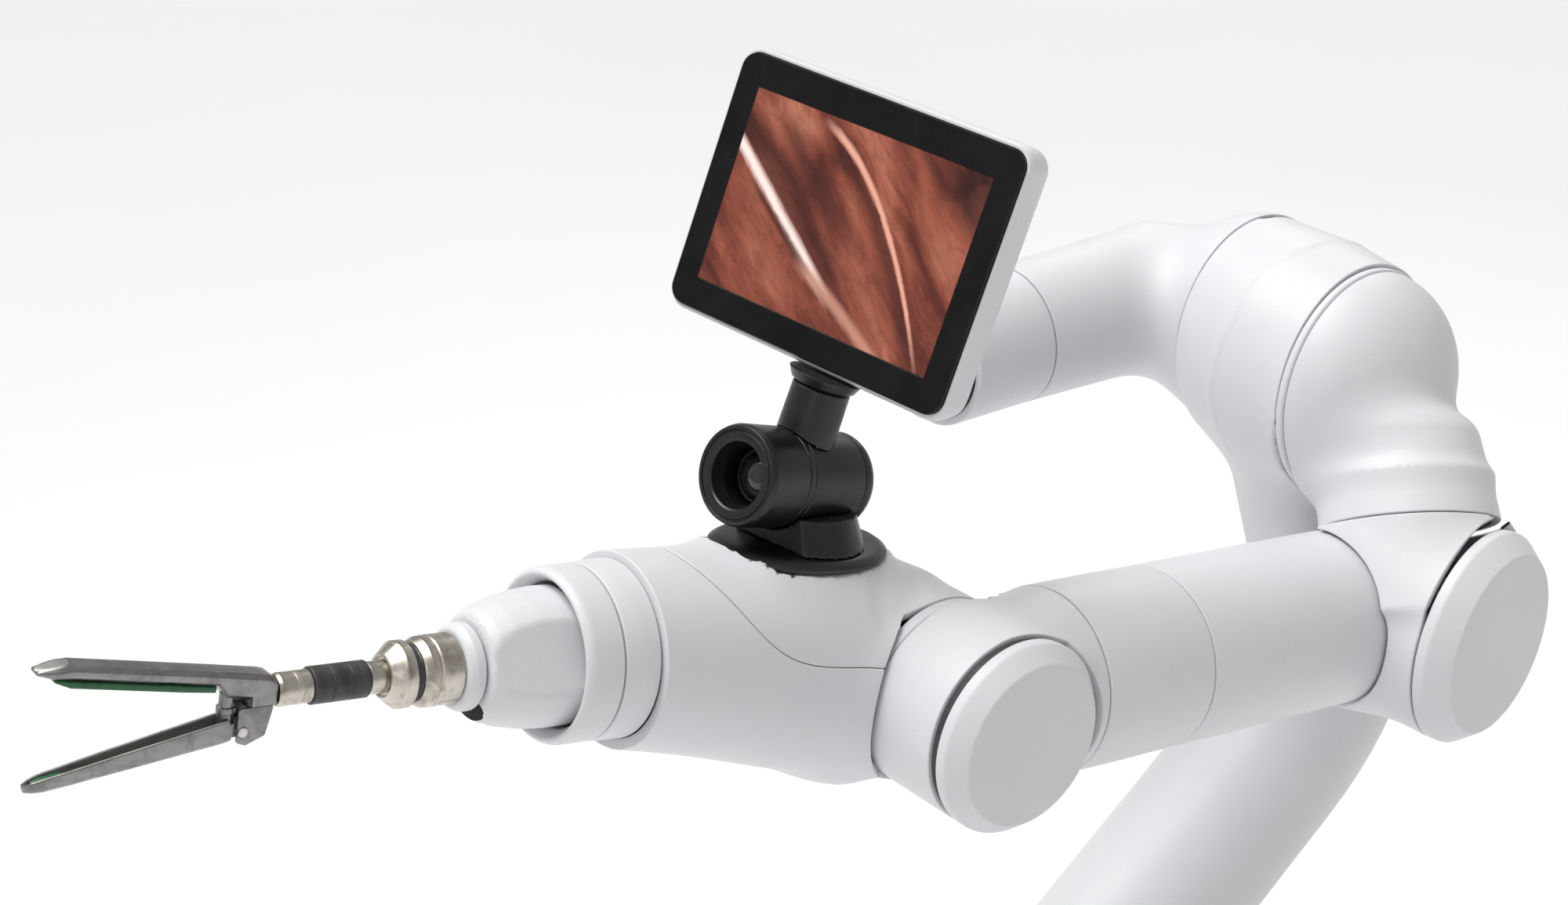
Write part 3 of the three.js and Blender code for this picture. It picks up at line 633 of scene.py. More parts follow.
def skin_of(f, low, high, step):
    """Triangles of the surface where f is 0, from a grid."""
    axes = [np.arange(l - step, h + 2 * step, step) for l, h in zip(low, high)]
    shape = tuple(len(a) for a in axes)
    grid = np.stack(np.meshgrid(*axes, indexing="ij"), -1).reshape(-1, 3)
    value = np.concatenate([f(part) for part in np.array_split(grid,
        max(1, len(grid) // 200000))]).reshape(shape)
    corner = {}
    for i in (0, 1):
        for j in (0, 1):
            for k in (0, 1):
                corner[i, j, k] = value[i : shape[0] - 1 + i, j : shape[1] - 1 + j, k : shape[2] - 1 + k]
    count = sum((c < 0).astype(int) for c in corner.values())
    mixed = (count > 0) & (count < 8)
    cells = np.argwhere(mixed)
    index = -np.ones(mixed.shape, int)
    index[mixed] = np.arange(len(cells))
    total = np.zeros((len(cells), 3))
    hits = np.zeros(len(cells))
    for a in corner:
        for axis in range(3):
            if a[axis]:
                continue
            b = tuple(1 if i == axis else a[i] for i in range(3))
            va, vb = corner[a][mixed], corner[b][mixed]
            crossing = (va < 0) != (vb < 0)
            s = np.where(crossing, va / np.where(crossing, va - vb, 1), 0)
            place = np.tile(np.array(a, float), (len(cells), 1))
            place[:, axis] = s
            total += place * crossing[:, None]
            hits += crossing
    verts = (cells + total / hits[:, None]) * step + np.array([a[0] for a in axes])
    quads = []
    for axis in range(3):
        b, c = (axis + 1) % 3, (axis + 2) % 3
        size = list(shape)
        size[axis] -= 1
        inside = value < 0
        first = inside[tuple(slice(0, s - (i == axis)) for i, s in enumerate(shape))]
        second = inside[tuple(slice(int(i == axis), None) for i in range(3))]
        edge = np.argwhere(first != second)
        edge = edge[(edge[:, b] > 0) & (edge[:, c] > 0)]
        edge = edge[(edge[:, b] < shape[b] - 1) & (edge[:, c] < shape[c] - 1)]
        out = first[tuple(edge.T)]
        ring = []
        for db, dc in ((0, 0), (1, 0), (1, 1), (0, 1)):
            cell = edge.copy()
            cell[:, b] -= db
            cell[:, c] -= dc
            ring.append(index[tuple(cell.T)])
        ring = np.stack(ring, 1)
        ring[~out] = ring[~out][:, ::-1]
        quads.append(ring)
    quads = np.concatenate(quads)
    verts = onto(f, verts, 2)
    for _ in range(3):  # evens out the grid's pattern
        total = np.zeros_like(verts)
        hits = np.zeros(len(verts))
        for i in range(4):
            np.add.at(total, quads[:, i], verts[quads[:, (i + 1) % 4]] + verts[quads[:, i - 1]])
            np.add.at(hits, quads[:, i], 2)
        verts = onto(f, 0.4 * verts + 0.6 * total / hits[:, None], 1)
    verts = onto(f, verts, 2)
    return verts, np.concatenate([quads[:, [0, 1, 2]], quads[:, [0, 2, 3]]])


def clipped(verts, tris, g, f, step):
    """Keeps the triangles where g is above 0, with new vertices where it is 0."""
    value = g(verts)
    near = np.abs(value) < 0.28 * step
    if near.any():
        moved = verts[near]
        for _ in range(3):
            n = slope_of(g, moved)
            moved = moved - n * (g(moved) / np.maximum((n * n).sum(1), 1e-6))[:, None]
            s = slope_of(f, moved)
            moved = moved - s * (f(moved) / np.maximum((s * s).sum(1), 1e-6))[:, None]
        verts = verts.copy()
        verts[near] = moved
        value = g(verts)
        value[near] = 0
    keep = value >= 0
    tris = tris[(value[tris] > 0).any(1)]
    whole = keep[tris].all(1)
    made, fresh, cache = [tris[whole]], [], {}

    def crossing(a, b):
        key = (min(a, b), max(a, b))
        if key not in cache:
            s = value[a] / (value[a] - value[b])
            cache[key] = len(verts) + len(fresh)
            fresh.append(verts[a] + s * (verts[b] - verts[a]))
        return cache[key]

    extra = []
    for tri in tris[~whole]:
        for i in range(3):
            a, b, c = tri[i], tri[(i + 1) % 3], tri[(i + 2) % 3]
            ka, kb, kc = keep[a], keep[b], keep[c]
            if ka and not kb and not kc:
                if value[a] > 0:
                    extra.append((a, crossing(a, b), crossing(a, c)))
                break
            if ka and kb and not kc:
                p = b if value[b] == 0 else crossing(b, c)
                q = a if value[a] == 0 else crossing(a, c)
                if p != b:
                    extra.append((a, b, p))
                if q != a:
                    extra.append((a, p, q))
                break
    if fresh:
        added = np.array(fresh)
        for _ in range(2):
            s = slope_of(f, added)
            added = added - s * (f(added) / np.maximum((s * s).sum(1), 1e-6))[:, None]
            n = slope_of(g, added)
            added = added - n * (g(added) / np.maximum((n * n).sum(1), 1e-6))[:, None]
        verts = np.concatenate([verts, added])
    if extra:
        made.append(np.array(extra))
    tris = np.concatenate(made)
    used = np.unique(tris)
    index = -np.ones(len(verts), int)
    index[used] = np.arange(len(used))
    return verts[used], index[tris]


def shell(name, f, low, high, cuts, material, body, stands_for=(), step=3.0, edge=0.7,
    depth=4.0):
    """A moulded shell: the surface where f is 0, kept where every cut is above 0.

    Each cut edge is rounded and turned inwards to show the wall.
    """
    verts, tris = skin_of(f, np.array(low, float), np.array(high, float), step)
    for g in cuts:
        verts, tris = clipped(verts, tris, lambda P, g=g: g(P) - edge, f, step)
    normals = slope_of(f, verts)
    normals /= np.linalg.norm(normals, axis=1)[:, None]
    pairs = np.concatenate([tris[:, [0, 1]], tris[:, [1, 2]], tris[:, [2, 0]]])
    key = np.sort(pairs, 1)
    _, first, count = np.unique(key, axis=0, return_index=True, return_counts=True)
    rim = pairs[first[count == 1]]
    all_verts, all_normals, all_faces = [verts], [normals], [tris]
    base = len(verts)
    if len(cuts) and len(rim):
        middle = verts[rim].mean(1)
        owner = np.argmin([np.abs(g(middle) - edge) for g in cuts], axis=0)
        for i, g in enumerate(cuts):
            mine = rim[owner == i]
            if not len(mine):
                continue
            ends = np.unique(mine)
            local = {v: k for k, v in enumerate(ends)}
            p, n = verts[ends], normals[ends]
            s = -slope_of(g, p)
            s -= (s * n).sum(1)[:, None] * n
            s /= np.maximum(np.linalg.norm(s, axis=1), 1e-6)[:, None]
            rows = []
            for angle in (0, 30, 60, 90):
                c, sn = math.cos(math.radians(angle)), math.sin(math.radians(angle))
                rows.append((p - n * edge * (1 - c) + s * edge * sn, n * c + s * sn))
            rows.append((rows[-1][0] - n * depth, s))
            rows.append((rows[-1][0] + 0, -n))
            rows.append((rows[-1][0] - s * 1.5, -n))
            for k, (q, m) in enumerate(rows):
                all_verts.append(q)
                all_normals.append(m)
            size = len(ends)
            a = np.array([local[v] for v in mine[:, 0]])
            b = np.array([local[v] for v in mine[:, 1]])
            for k in range(len(rows) - 1):
                if k == 4:
                    continue
                r0, r1 = base + k * size, base + (k + 1) * size
                all_faces.append(np.stack([r0 + b, r0 + a, r1 + a], 1))
                all_faces.append(np.stack([r0 + b, r1 + a, r1 + b], 1))
            base += size * len(rows)
    verts, normals = np.concatenate(all_verts), np.concatenate(all_normals)
    normals /= np.maximum(np.linalg.norm(normals, axis=1), 1e-9)[:, None]
    return piece(name, verts, np.concatenate(all_faces), material, body, stands_for, normals=normals)


def past(point, normal):
    """A cut that keeps what lies on the normal's side of a plane."""
    normal = unit(normal)
    return lambda P: (P - point) @ normal


def near(cut, point, axis, radius):
    """A cut that only bites within a radius of an axis."""
    axis = unit(axis)

    def limited(P):
        q = P - point
        rho = np.linalg.norm(q - np.outer(q @ axis, axis), axis=1)
        return np.maximum(cut(P), rho - radius)

    return limited


# ---------------------------------------------------------------- the pieces

white = shell_material()
seal = seal_material()
black = black_material("satin_black", 0.34, 0.007, 0.045)
black_soft = black_material("matt_black", 0.5, 0.011, 0.045)
flange = machined_material("machined_flange", (0.62, 0.63, 0.64))
drives = machined_material("machined_drive", (0.5, 0.51, 0.53))
nickel = brushed_material("worn_nickel", (0.66, 0.62, 0.55), (0.2, 0.16, 0.12), TOOL_AXIS, Y, (0.2, 0.36),
    0.65)
steel = brushed_material("dark_steel", (0.33, 0.325, 0.315), (0.13, 0.12, 0.11), LIFT, Y, (0.22, 0.4), 0.5,
    1300)
# bright steel for the pin and the tip face, also used for the painted highlight lines along the lower jaw's
# rims
bright_steel_and_highlight = brushed_material("bright_edge", (0.72, 0.7, 0.67), (0.4, 0.38, 0.35), LIFT, Y, (0.18, 0.34),
    0.5)
pad = pad_material()
glass = glass_material()
front = front_material()
picture = display_material()


def base_and_turret():
    holes = [(math.cos(a) * 70, math.sin(a) * 70) for a in (math.pi / 4 + i * math.pi / 2
        for i in range(4))]
    bolted_disc("flange_disc", vec(0, 0, 0), Z, 84, 14, holes, 4.5, flange, "base", "base_flange")
    low = 14.4
    f = lambda P: smooth_max(cone(P, vec(0, 0, low), vec(0, 0, 54), 57, 56, 1.2), -box(P, vec(64, 0, 34),
        vec(10, 22.4, 12.4), 1.5), 1.0)
    shell("base_shell", f, (-58, -58, low), (58, 58, 54), [], white, "base", "base_housing", step=2.2)
    socket_panel()
    turret_low = 54.8

    def turret(P):
        foot = cone(P, vec(0, 0, turret_low), vec(0, 0, 76), 60, 60, 3)
        back = cone(P, vec(0, 50.4, 140), vec(0, 112, 140), 60, 56, 2)
        post = cone(P, vec(0, 20, turret_low + 4), vec(0, 82, 132), 44, 46)
        body = smooth_min(smooth_min(post, back, 14), foot, 14)
        space = cone(P, vec(0, -90, 140), vec(0, 50.4, 140), 62.5, 62.5)
        body = smooth_max(body, turret_low - P[:, 2], 1.5)
        return smooth_max(body, -space, 2.0)
    shell("turret_shell", turret, (-62, -62, turret_low), (62, 113, 202), [], white, "turret",
        "turret_housing", step=2.6)
    cover("turret_cover", vec(0, 112.4, 140), Y, 56, 12, "turret", "turret_cap")


def box(P, centre, half, edge):
    q = np.abs(P - centre) - (half - edge)
    return np.linalg.norm(np.maximum(q, 0), axis=1) + np.minimum(q.max(1), 0) - edge


def cover(name, point, axis, r, height, body, stands_for, count=160):
    """A hub cover: a short cylinder, a rounded shoulder, a wide cone and a flat face."""
    profile = [(0, 0), (r - 1.2, 0), (r, 0.8), (r, height * 0.34), (r * 0.84, height), (0, height)]
    return lathe(name, profile, point, axis, white, body, stands_for, [0, 0.5, 0.6, 3.2, 2.4, 0],
        count, steps=7)


def bolted_disc(name, point, axis, r, height, holes, hole_r, material, body, stands_for, count=96):
    """A disc with through holes, each with a small countersink."""
    u, w = basis(axis)
    work = bmesh.new()
    outer = [point + (u * math.cos(a) + w * math.sin(a)) * r for a in np.arange(count) * 2 * math.pi
        / count]
    loops = [outer]
    for x, y in holes:
        angles = np.arange(28) * 2 * math.pi / 28
        loops.append([point + u * (x + hole_r * math.cos(a)) + w * (y + hole_r * math.sin(a))
            for a in angles])
    edges = []
    for loop in loops:
        row = [work.verts.new(p * MM) for p in loop]
        edges += [work.edges.new((row[i], row[(i + 1) % len(row)])) for i in range(len(row))]
    filled = bmesh.ops.triangle_fill(work, edges=edges, use_beauty=True)
    faces = [g for g in filled["geom"] if isinstance(g, bmesh.types.BMFace)]
    grown = bmesh.ops.extrude_face_region(work, geom=faces)
    moved = [g for g in grown["geom"] if isinstance(g, bmesh.types.BMVert)]
    bmesh.ops.translate(work, verts=moved, vec=Vector(axis * height * MM))
    bmesh.ops.recalc_face_normals(work, faces=work.faces[:])
    rim = [e for e in work.edges if len(e.link_faces) == 2 and e.calc_face_angle(0) > math.radians(60)]
    bmesh.ops.bevel(work, geom=rim, offset=0.7 * MM, segments=2, profile=0.5, affect="EDGES",
        clamp_overlap=True)
    work.verts.index_update()
    verts = np.array([v.co[:] for v in work.verts]) / MM
    faces = [[v.index for v in f.verts] for f in work.faces]
    work.free()
    return piece(name, verts, faces, material, body, stands_for, sharp=32)


def socket_panel():
    f = lambda P: np.maximum(box(P, vec(59, 0, 34), vec(4.5, 22, 12), 1.0), -np.minimum(
        cone(P, vec(56.5, -12, 34), vec(70, -12, 34), 6, 6), cone(P, vec(56.5, 12, 34), vec(70, 12, 34), 6,
        6)))
    shell("socket_panel", f, (54, -22, 22), (64, 22, 46), [], black_soft, "base", "base_connector_panel",
        step=0.9)
    for i, y in enumerate((-12, 12)):
        lathe(f"socket_pin_{i}", [(0, 0), (1.4, 0), (1.4, 4.4), (0, 5)], vec(56.6, y, 34), vec(1, 0, 0),
            nickel, "base", radius=0.3, count=32)


def link_path():
    into = SHOULDER + 0.78 * (LINK_CORNER - SHOULDER)
    out = LINK_CORNER + 0.42 * (TOP - LINK_CORNER)
    s = np.linspace(0, 1, 14)[:, None]
    bend = (1 - s) ** 2 * into + 2 * s * (1 - s) * LINK_CORNER + s**2 * out
    return [SHOULDER, *bend, TOP]


def lower_arm():
    path = link_path()
    radii = [46.0] * len(path)

    def solid(P):
        hub = cone(P, vec(0, -49.6, 140), vec(0, 49.6, 140), 60, 60, 1.0)
        link = tube(P, path, radii)
        reach = 37.0 + 0.45 * np.maximum(np.linalg.norm((P - TOP) * vec(1, 0, 1), axis=1) - 70, 0)
        link = smooth_max(link, np.abs(P[:, 1]) - reach, 9)
        front_half = cone(P, FRONT_JOINT - 6 * Y, TOP, 59, 59)
        rear_half = cone(P, TOP, REAR_JOINT + 6 * Y, 59, 57)
        housing = smooth_min(front_half, rear_half, 3)
        return smooth_min(smooth_min(housing, link, 26), hub, 18)

    front_cut = near(lambda P: P[:, 1] + 37 - GAP, FRONT_JOINT, Y, 66)
    rear_cut = near(lambda P: 37 - GAP - P[:, 1], REAR_JOINT, Y, 66)
    shell("lower_arm_link", solid, (-62, -52, 78), (356, 52, 624), [front_cut, rear_cut], white,
        "lower_arm", "lower_arm_shell")
    cover("shoulder_cover", vec(0, -50.4, 140), -Y, 59, 12, "lower_arm", "shoulder_cap")


def front_link():
    up = lambda d: NECK + NECK_AXIS * d

    def solid(P):
        dome = ellipsoid(P, FRONT_JOINT, Y, 58.2, 46)
        neck = cone(P, up(-8), up(22), 44.2, 40.5)
        upper = cone(P, up(18), up(52), 40.5, 35, 10)
        return smooth_min(dome, smooth_min(neck, upper, 10), 22)

    rim = 4.2
    cut = lambda P: -37 - rim - 0.25 - P[:, 1]
    neck_cut = past(up(GAP), NECK_AXIS)
    shell("front_link_dome", solid, (174, -156, 470), (322, -30, 622), [cut, neck_cut], white, "front_link",
        "front_link_shell")
    ring = [(59, GAP), (59, rim), (54, rim), (54, GAP)]
    lathe("front_link_rim", ring, FRONT_JOINT, -Y, white, "front_link", radius=[0.8, 1.3, 0.3,
        0.3], count=160, closed=True)


def rear_link():
    bend = vec(REAR_JOINT[0] - 18, REAR_Y, REAR_Z)

    def solid(P):
        dome = ellipsoid(P, REAR_JOINT, Y, 57, 50)
        turn = np.linalg.norm(P - bend, axis=1) - 38.5
        pipe = cone(P, bend, vec(REAR_SEAM - 6, REAR_Y, REAR_Z), 38.5, 35.5)
        return smooth_min(dome, smooth_min(turn, pipe, 4), 24)

    cut = lambda P: P[:, 1] - 37 - GAP
    end_cut = lambda P: P[:, 0] - REAR_SEAM - GAP
    shell("rear_link_pipe", solid, (128, 30, 500), (330, 138, 630), [cut, end_cut], white, "rear_link",
        "rear_link_shell")
    sleeve = [(35.5, GAP), (35.5, 51.5), (31.5, 51.5), (31.5, GAP)]
    lathe("rear_end_sleeve", sleeve, vec(REAR_SEAM, REAR_Y, REAR_Z), vec(-1, 0, 0), white, "rear_end",
        "rear_end_shell", 0.8, 144, True)
    holes = [(math.cos(a) * 25, math.sin(a) * 25) for a in (math.pi / 4 + i * math.pi / 2
        for i in range(4))]
    bolted_disc("rear_disc", vec(REAR_END - 0.4, REAR_Y, REAR_Z), vec(-1, 0, 0), 31.5, 6.6, holes, 3,
        flange, "rear_end", "rear_flange")


def elbow():
    neck_seam = NECK - NECK_AXIS * GAP
    arm_seam = WRIST + FORE * (248 + GAP)
    seat = ELBOW_CAP - ELBOW_AXIS * GAP

    def solid(P):
        ball = ellipsoid(P, ELBOW + vec(2, 0, 0), Y, 47, 45)
        hub = cone(P, seat - ELBOW_AXIS * 48, seat + ELBOW_AXIS * 4, 49, 53.4)
        neck = cone(P, neck_seam - NECK_AXIS * 44, neck_seam + NECK_AXIS * 4, 46, 43.6)
        arm = cone(P, arm_seam + FORE * 40, arm_seam - FORE * 4, 46, 42)
        body = smooth_min(smooth_min(ball, hub, 12), neck, 14)
        return smooth_min(body, arm, 18)

    arm_cut = near(past(arm_seam, FORE), WRIST, FORE, 43.5)
    cuts = [past(neck_seam, -NECK_AXIS), arm_cut, past(seat, -ELBOW_AXIS)]
    shell("elbow_body", solid, (168, -154, 394), (302, -20, 556), cuts, white, "elbow", "elbow_housing",
        step=2.6)
    cover("elbow_cover", ELBOW_CAP + ELBOW_AXIS * GAP, ELBOW_AXIS, 53, 16, "elbow", "elbow_cap", 176)


def forearm():
    slope = 1 / 199
    radius = lambda s: 41 + (s - 49) * slope
    for name, node, a, b in (("forearm_rear", "forearm_rear_shell", 115, 248), ("forearm_front",
        "forearm_front_shell", 49, 115)):
        a, b = a + GAP, b - GAP
        middle = 0.5 * (a + b)
        ring = [(radius(a), a), (radius(middle) + 0.15, middle), (radius(b), b), (radius(b) - 4, b),
            (radius(a) - 4, a)]
        lathe(name, ring, WRIST, FORE, white, "forearm", node, [0.8, 40, 0.8, 0.4, 0.4], 160, True)


def wrist():
    c = lambda y: vec(DRUM[0], y, DRUM[2])
    seam = WRIST + FORE * (49 - GAP)

    def solid(P):
        drum = cone(P, c(-74), c(-115), DRUM_R, DRUM_R)
        branch = cone(P, WRIST + vec(-6, -6, 0), seam + FORE * 3, 34, 41)
        return smooth_min(drum, branch, 15)

    rear = near(lambda P: -76 - GAP - P[:, 1], DRUM, Y, DRUM_R + 3)
    before = near(lambda P: P[:, 1] + 113 - GAP, DRUM, Y, DRUM_R + 3)
    shell("wrist_body", solid, (-98, -134, 446), (10, -34, 556), [rear, past(seam, -FORE), before], white,
        "forearm", "wrist_housing", step=2.4)
    ring = [(40, 0), (40, 3), (33.5, 3), (33.5, 0)]
    lathe("wrist_seal", ring, c(-113), -Y, seal, "forearm", "wrist_seal_ring", 0.4, 128, True)
    profile = [(0, 0), (40.6, 0), (41.5, 0.8), (41.5, 5.2), (35, 13), (0, 13)]
    lathe("wrist_cover", profile, c(-116.4), -Y, white, "forearm", "wrist_cap", [0, 0.5, 0.8, 3.0,
        2.0, 0], 176, steps=7)


def tool_head():
    c = lambda y: vec(DRUM[0], y, DRUM[2])
    ring = [(41, -0.4), (41, -6), (24, -6), (24, -0.4)]
    lathe("wrist_ring", ring, c(-76), -Y, white, "tool_head", "wrist_output_ring", [1.2, 0.8, 0.3,
        0.3], 160, True)
    start = -76 + 6 + GAP
    on = lambda t: TOOL + TOOL_AXIS * t

    def solid(P):
        drum = cone(P, c(start - 4), c(-34), DRUM_R, DRUM_R)
        dome = ellipsoid(P, c(-34), Y, DRUM_R, 36)
        belly = np.linalg.norm(P - vec(-76, -36, 504), axis=1) - 46
        nose = cone(P, vec(-76, -36, 504), on(6), 46, 35)
        squeezed = P - np.outer((P - PEDESTAL) @ TOOL_AXIS, TOOL_AXIS) * 0.32
        post = cone(squeezed, PEDESTAL - LIFT * 40, PEDESTAL + LIFT * 0.2, 35, 27.5)
        back = cone(P, PEDESTAL + vec(-4, 0, -36), on(6), 39.5, 35)
        body = smooth_min(smooth_min(drum, dome, 4), belly, 10)
        body = smooth_min(smooth_min(body, nose, 10), back, 12)
        body = smooth_min(body, post, 16)
        squeezed = P - np.outer((P - PEDESTAL) @ TOOL_AXIS, TOOL_AXIS) * 0.26
        pocket = cone(squeezed, PEDESTAL, PEDESTAL + LIFT * 40, 31.9, 31.9)
        return smooth_max(body, -pocket, 0.8)

    # The cover's seam runs down and back along both flanks in a slack S.
    def s_curve(P):
        q = P - TOOL
        t, up = q @ TOOL_AXIS, q @ LIFT
        swell = np.exp((t + 37) / 11)
        drop = 48 - 48 / (1 + swell) + 0.05 * (t + 37)
        slope = 48 / 11 * swell / (1 + swell) ** 2 + 0.05
        return (up - drop) / np.sqrt(1 + slope ** 2)

    low, high = (-208, -92, 438), (2, 22, 608)
    wrist_end = near(lambda P: P[:, 1] - start, DRUM, Y, DRUM_R + 2.5)
    ends = [past(on(-GAP), -TOOL_AXIS), wrist_end]
    shell("tool_lower", solid, low, high, [*ends, lambda P: -s_curve(P) - 0.1], white, "tool_head",
        "tool_lower_shell", step=2.6, edge=0.55)
    shell("tool_upper", solid, low, high, [*ends, lambda P: s_curve(P) - 0.1], white, "tool_head",
        "tool_upper_shell", step=2.6, edge=0.55)
    front_ring = [(35, GAP), (34.3, 15.6), (30, 15.6), (30, GAP)]
    lathe("tool_ring", front_ring, TOOL, TOOL_AXIS, white, "tool_head", "tool_front_ring",
        [0.7, 0.7, 0.3, 0.3], 160, True)
    bezel = [(34.2, 16.4), (34.0, 30), (31.5, 33.2), (28.2, 27), (27.9, 20), (28.5, 16.4)]
    lathe("nose_bezel", bezel, TOOL, TOOL_AXIS, white, "tool_head", "tool_nose_bezel",
        [0.7, 5, 2.2, 0.8, 0.5, 0.4], 160, True, 6)
    saddle_plate()


def saddle_plate():
    """The camera's plate: a teardrop with a chamfered edge, its point to the rear."""
    side = -Y
    forward = TOOL_AXIS
    points = []
    for i in range(72):
        a = 2 * math.pi * i / 72
        x, y = math.cos(a) * 42, math.sin(a) * 31
        if x < 0:
            y = y * (1 - 0.2 * (x / 42) ** 4)
        points.append((x, y))
    verts, rings = [], []
    for shrink, h in ((0.95, 0.4), (1.0, 1.0), (1.0, 2.2), (0.985, 2.7), (0.9, 4.6), (0.86, 5.0),
        (0.4, 5.0)):
        rings.append(len(verts))
        verts += [PEDESTAL + forward * (x * shrink) + side * (y * shrink) + LIFT * h for x, y in points]
    faces = []
    n = len(points)
    for a, b in zip(rings, rings[1:]):
        faces += [(a + i, a + (i + 1) % n, b + (i + 1) % n, b + i) for i in range(n)]
    faces.append(tuple(reversed(range(n))))
    faces.append(tuple(rings[-1] + i for i in range(n)))
    piece("saddle_plate", verts, faces, black, "tool_head", "camera_plate")

    def seat(P):
        block = cone(P, PEDESTAL + LIFT * 5.3, PEDESTAL + LIFT * 19, 27, 21)
        barrel = cone(P, CAMERA - BARREL * 60, CAMERA + BARREL * 60, 21.2, 21.2)
        block = smooth_max(block, (P - CAMERA) @ BARREL - 10, 0.6)
        return smooth_max(block, -barrel, 0.4)

    shell("camera_seat", seat, (-124, -60, 556), (-58, 6, 592), [], black, "tool_head", "camera_saddle",
        step=1.1)


def instrument():
    on = lambda t, side=0.0, up=0.0: TOOL + TOOL_AXIS * t + Y * side + LIFT * up

    # The nose has a flat on each upper flank that ends in a crisp ridge.
    def nose(P):
        q = P - TOOL
        t = q @ TOOL_AXIS
        r = np.interp(t, [20, 34, 44, 54, 60, 63.2, 64.2], [26.8, 26.8, 25.9, 23.8, 21.6, 19.6, 17.5])
        rho = np.hypot(q @ Y, q @ LIFT)
        body = np.maximum(rho - r, np.maximum(24 - t, t - 64))
        flats = 24.2 - 0.12 * np.maximum(t - 24, 0)
        for sign in (-1, 1):
            n = unit(Y * sign + LIFT * 0.42)
            body = smooth_max(body, (q @ n) - flats, 0.8)
        return body

    shell("nose_cover", nose, on(24) - 40, on(64) + 40, [], white, "instrument", "nose_cone", step=1.5)
    collar = [(0, 64.4), (15.2, 64.4), (16.5, 65.4), (16.5, 68.6), (15.4, 70.6), (14.2, 71.5), (0, 71.5)]
    lathe("nose_collar_ring", collar, TOOL, TOOL_AXIS, white, "instrument", "nose_collar",
        [0, 0.5, 0.9, 1.2, 0.6, 0.5, 0], 96)
    body = [(0, 71.8), (12.9, 71.8), (13.2, 72.2), (13.2, 80.6), (12.7, 81), (12.7, 81.6), (13.2, 82),
        (13.0, 84.6),
            (12.0, 86.6), (11.4, 87.4), (10.6, 87.6), (10.6, 89.9), (0, 89.9)]
    lathe("coupling_barrel", body, TOOL, TOOL_AXIS, nickel, "instrument", "coupling_body", 0.3,
        112)
    groove = [(11.0, 87.9), (11.0, 90.1), (10.7, 90.1), (10.7, 87.9)]
    lathe("coupling_groove", groove, TOOL, TOOL_AXIS, seal, "instrument", radius=0.05,
        count=80, closed=True)
    nut = [(0, 90.4), (12.0, 90.4), (12.4, 90.8), (12.4, 94.2), (12.0, 94.9), (8.4, 99.1), (7.6, 99.5),
        (6.9, 98.4), (0, 98.4)]
    wave = lambda r, t, a: r - (0.35 * abs(math.cos(3 * a)) if r > 9 and t > 94.5 else 0.0)
    lathe("coupling_nut_ring", nut, TOOL, TOOL_AXIS, nickel, "instrument", "coupling_nut", 0.35,
        120, shape=wave)
    lathe("shaft_back", [(0, 98.6), (6.0, 98.6), (6.0, 105.5), (5.7, 105.8), (0, 105.8)], TOOL, TOOL_AXIS,
        nickel, "instrument", "shaft_rear", 0.2, 64)
    sleeve = [(0, 106), (6.4, 106), (6.8, 106.4), (6.8, 113.2), (6.62, 113.4), (6.62, 113.7), (6.8, 113.9),
        (6.8, 120.4),
              (6.62, 120.6), (6.62, 120.9), (6.8, 121.1), (6.8, 127.6), (6.4, 128), (0, 128)]
    lathe("shaft_sleeve_tube", sleeve, TOOL, TOOL_AXIS, sleeve_look(), "instrument", "shaft_sleeve",
        0.18, 72)
    tip = [(0, 128.3), (6.0, 128.3), (6.0, 134.0), (5.9, 134.1), (5.9, 134.4), (6.0, 134.5), (6.0, 139.8),
        (5.4, 141), (0, 141)]
    faced = lambda r, t, a: r * (1 - 0.018 * abs(math.cos(4 * a))) if 128.5 < t < 134 and r > 4 else r
    lathe("shaft_tip", tip, TOOL, TOOL_AXIS, nickel, "instrument", "shaft_front", 0.2, 96,
        shape=faced)


def sleeve_look():
    look = Look("sleeve_black", (0.03, 0.029, 0.028), 0.42)
    streaks = look.noise(1.0, 4, 0.6, look.stretched([(TOOL_AXIS, 700), (Y, 60), (LIFT, 60)]))
    look.colour(look.ramp(streaks, [(0.35, (0.02, 0.02, 0.02)), (0.7, (0.055, 0.052, 0.05))]))
    look.roughness(look.between(look.noise(300, 4), 0.34, 0.55))
    look.bump((streaks, 0.03, 0.4))
    return look.material


def tilted(origin, degrees):
    """Origin, forward and up of a plane in the instrument's upright plane, turned by an angle."""
    a = math.radians(degrees)
    forward = TOOL_AXIS * math.cos(a) + LIFT * math.sin(a)
    up = LIFT * math.cos(a) - TOOL_AXIS * math.sin(a)
    return TOOL + TOOL_AXIS * origin[0] + LIFT * origin[1], forward, up


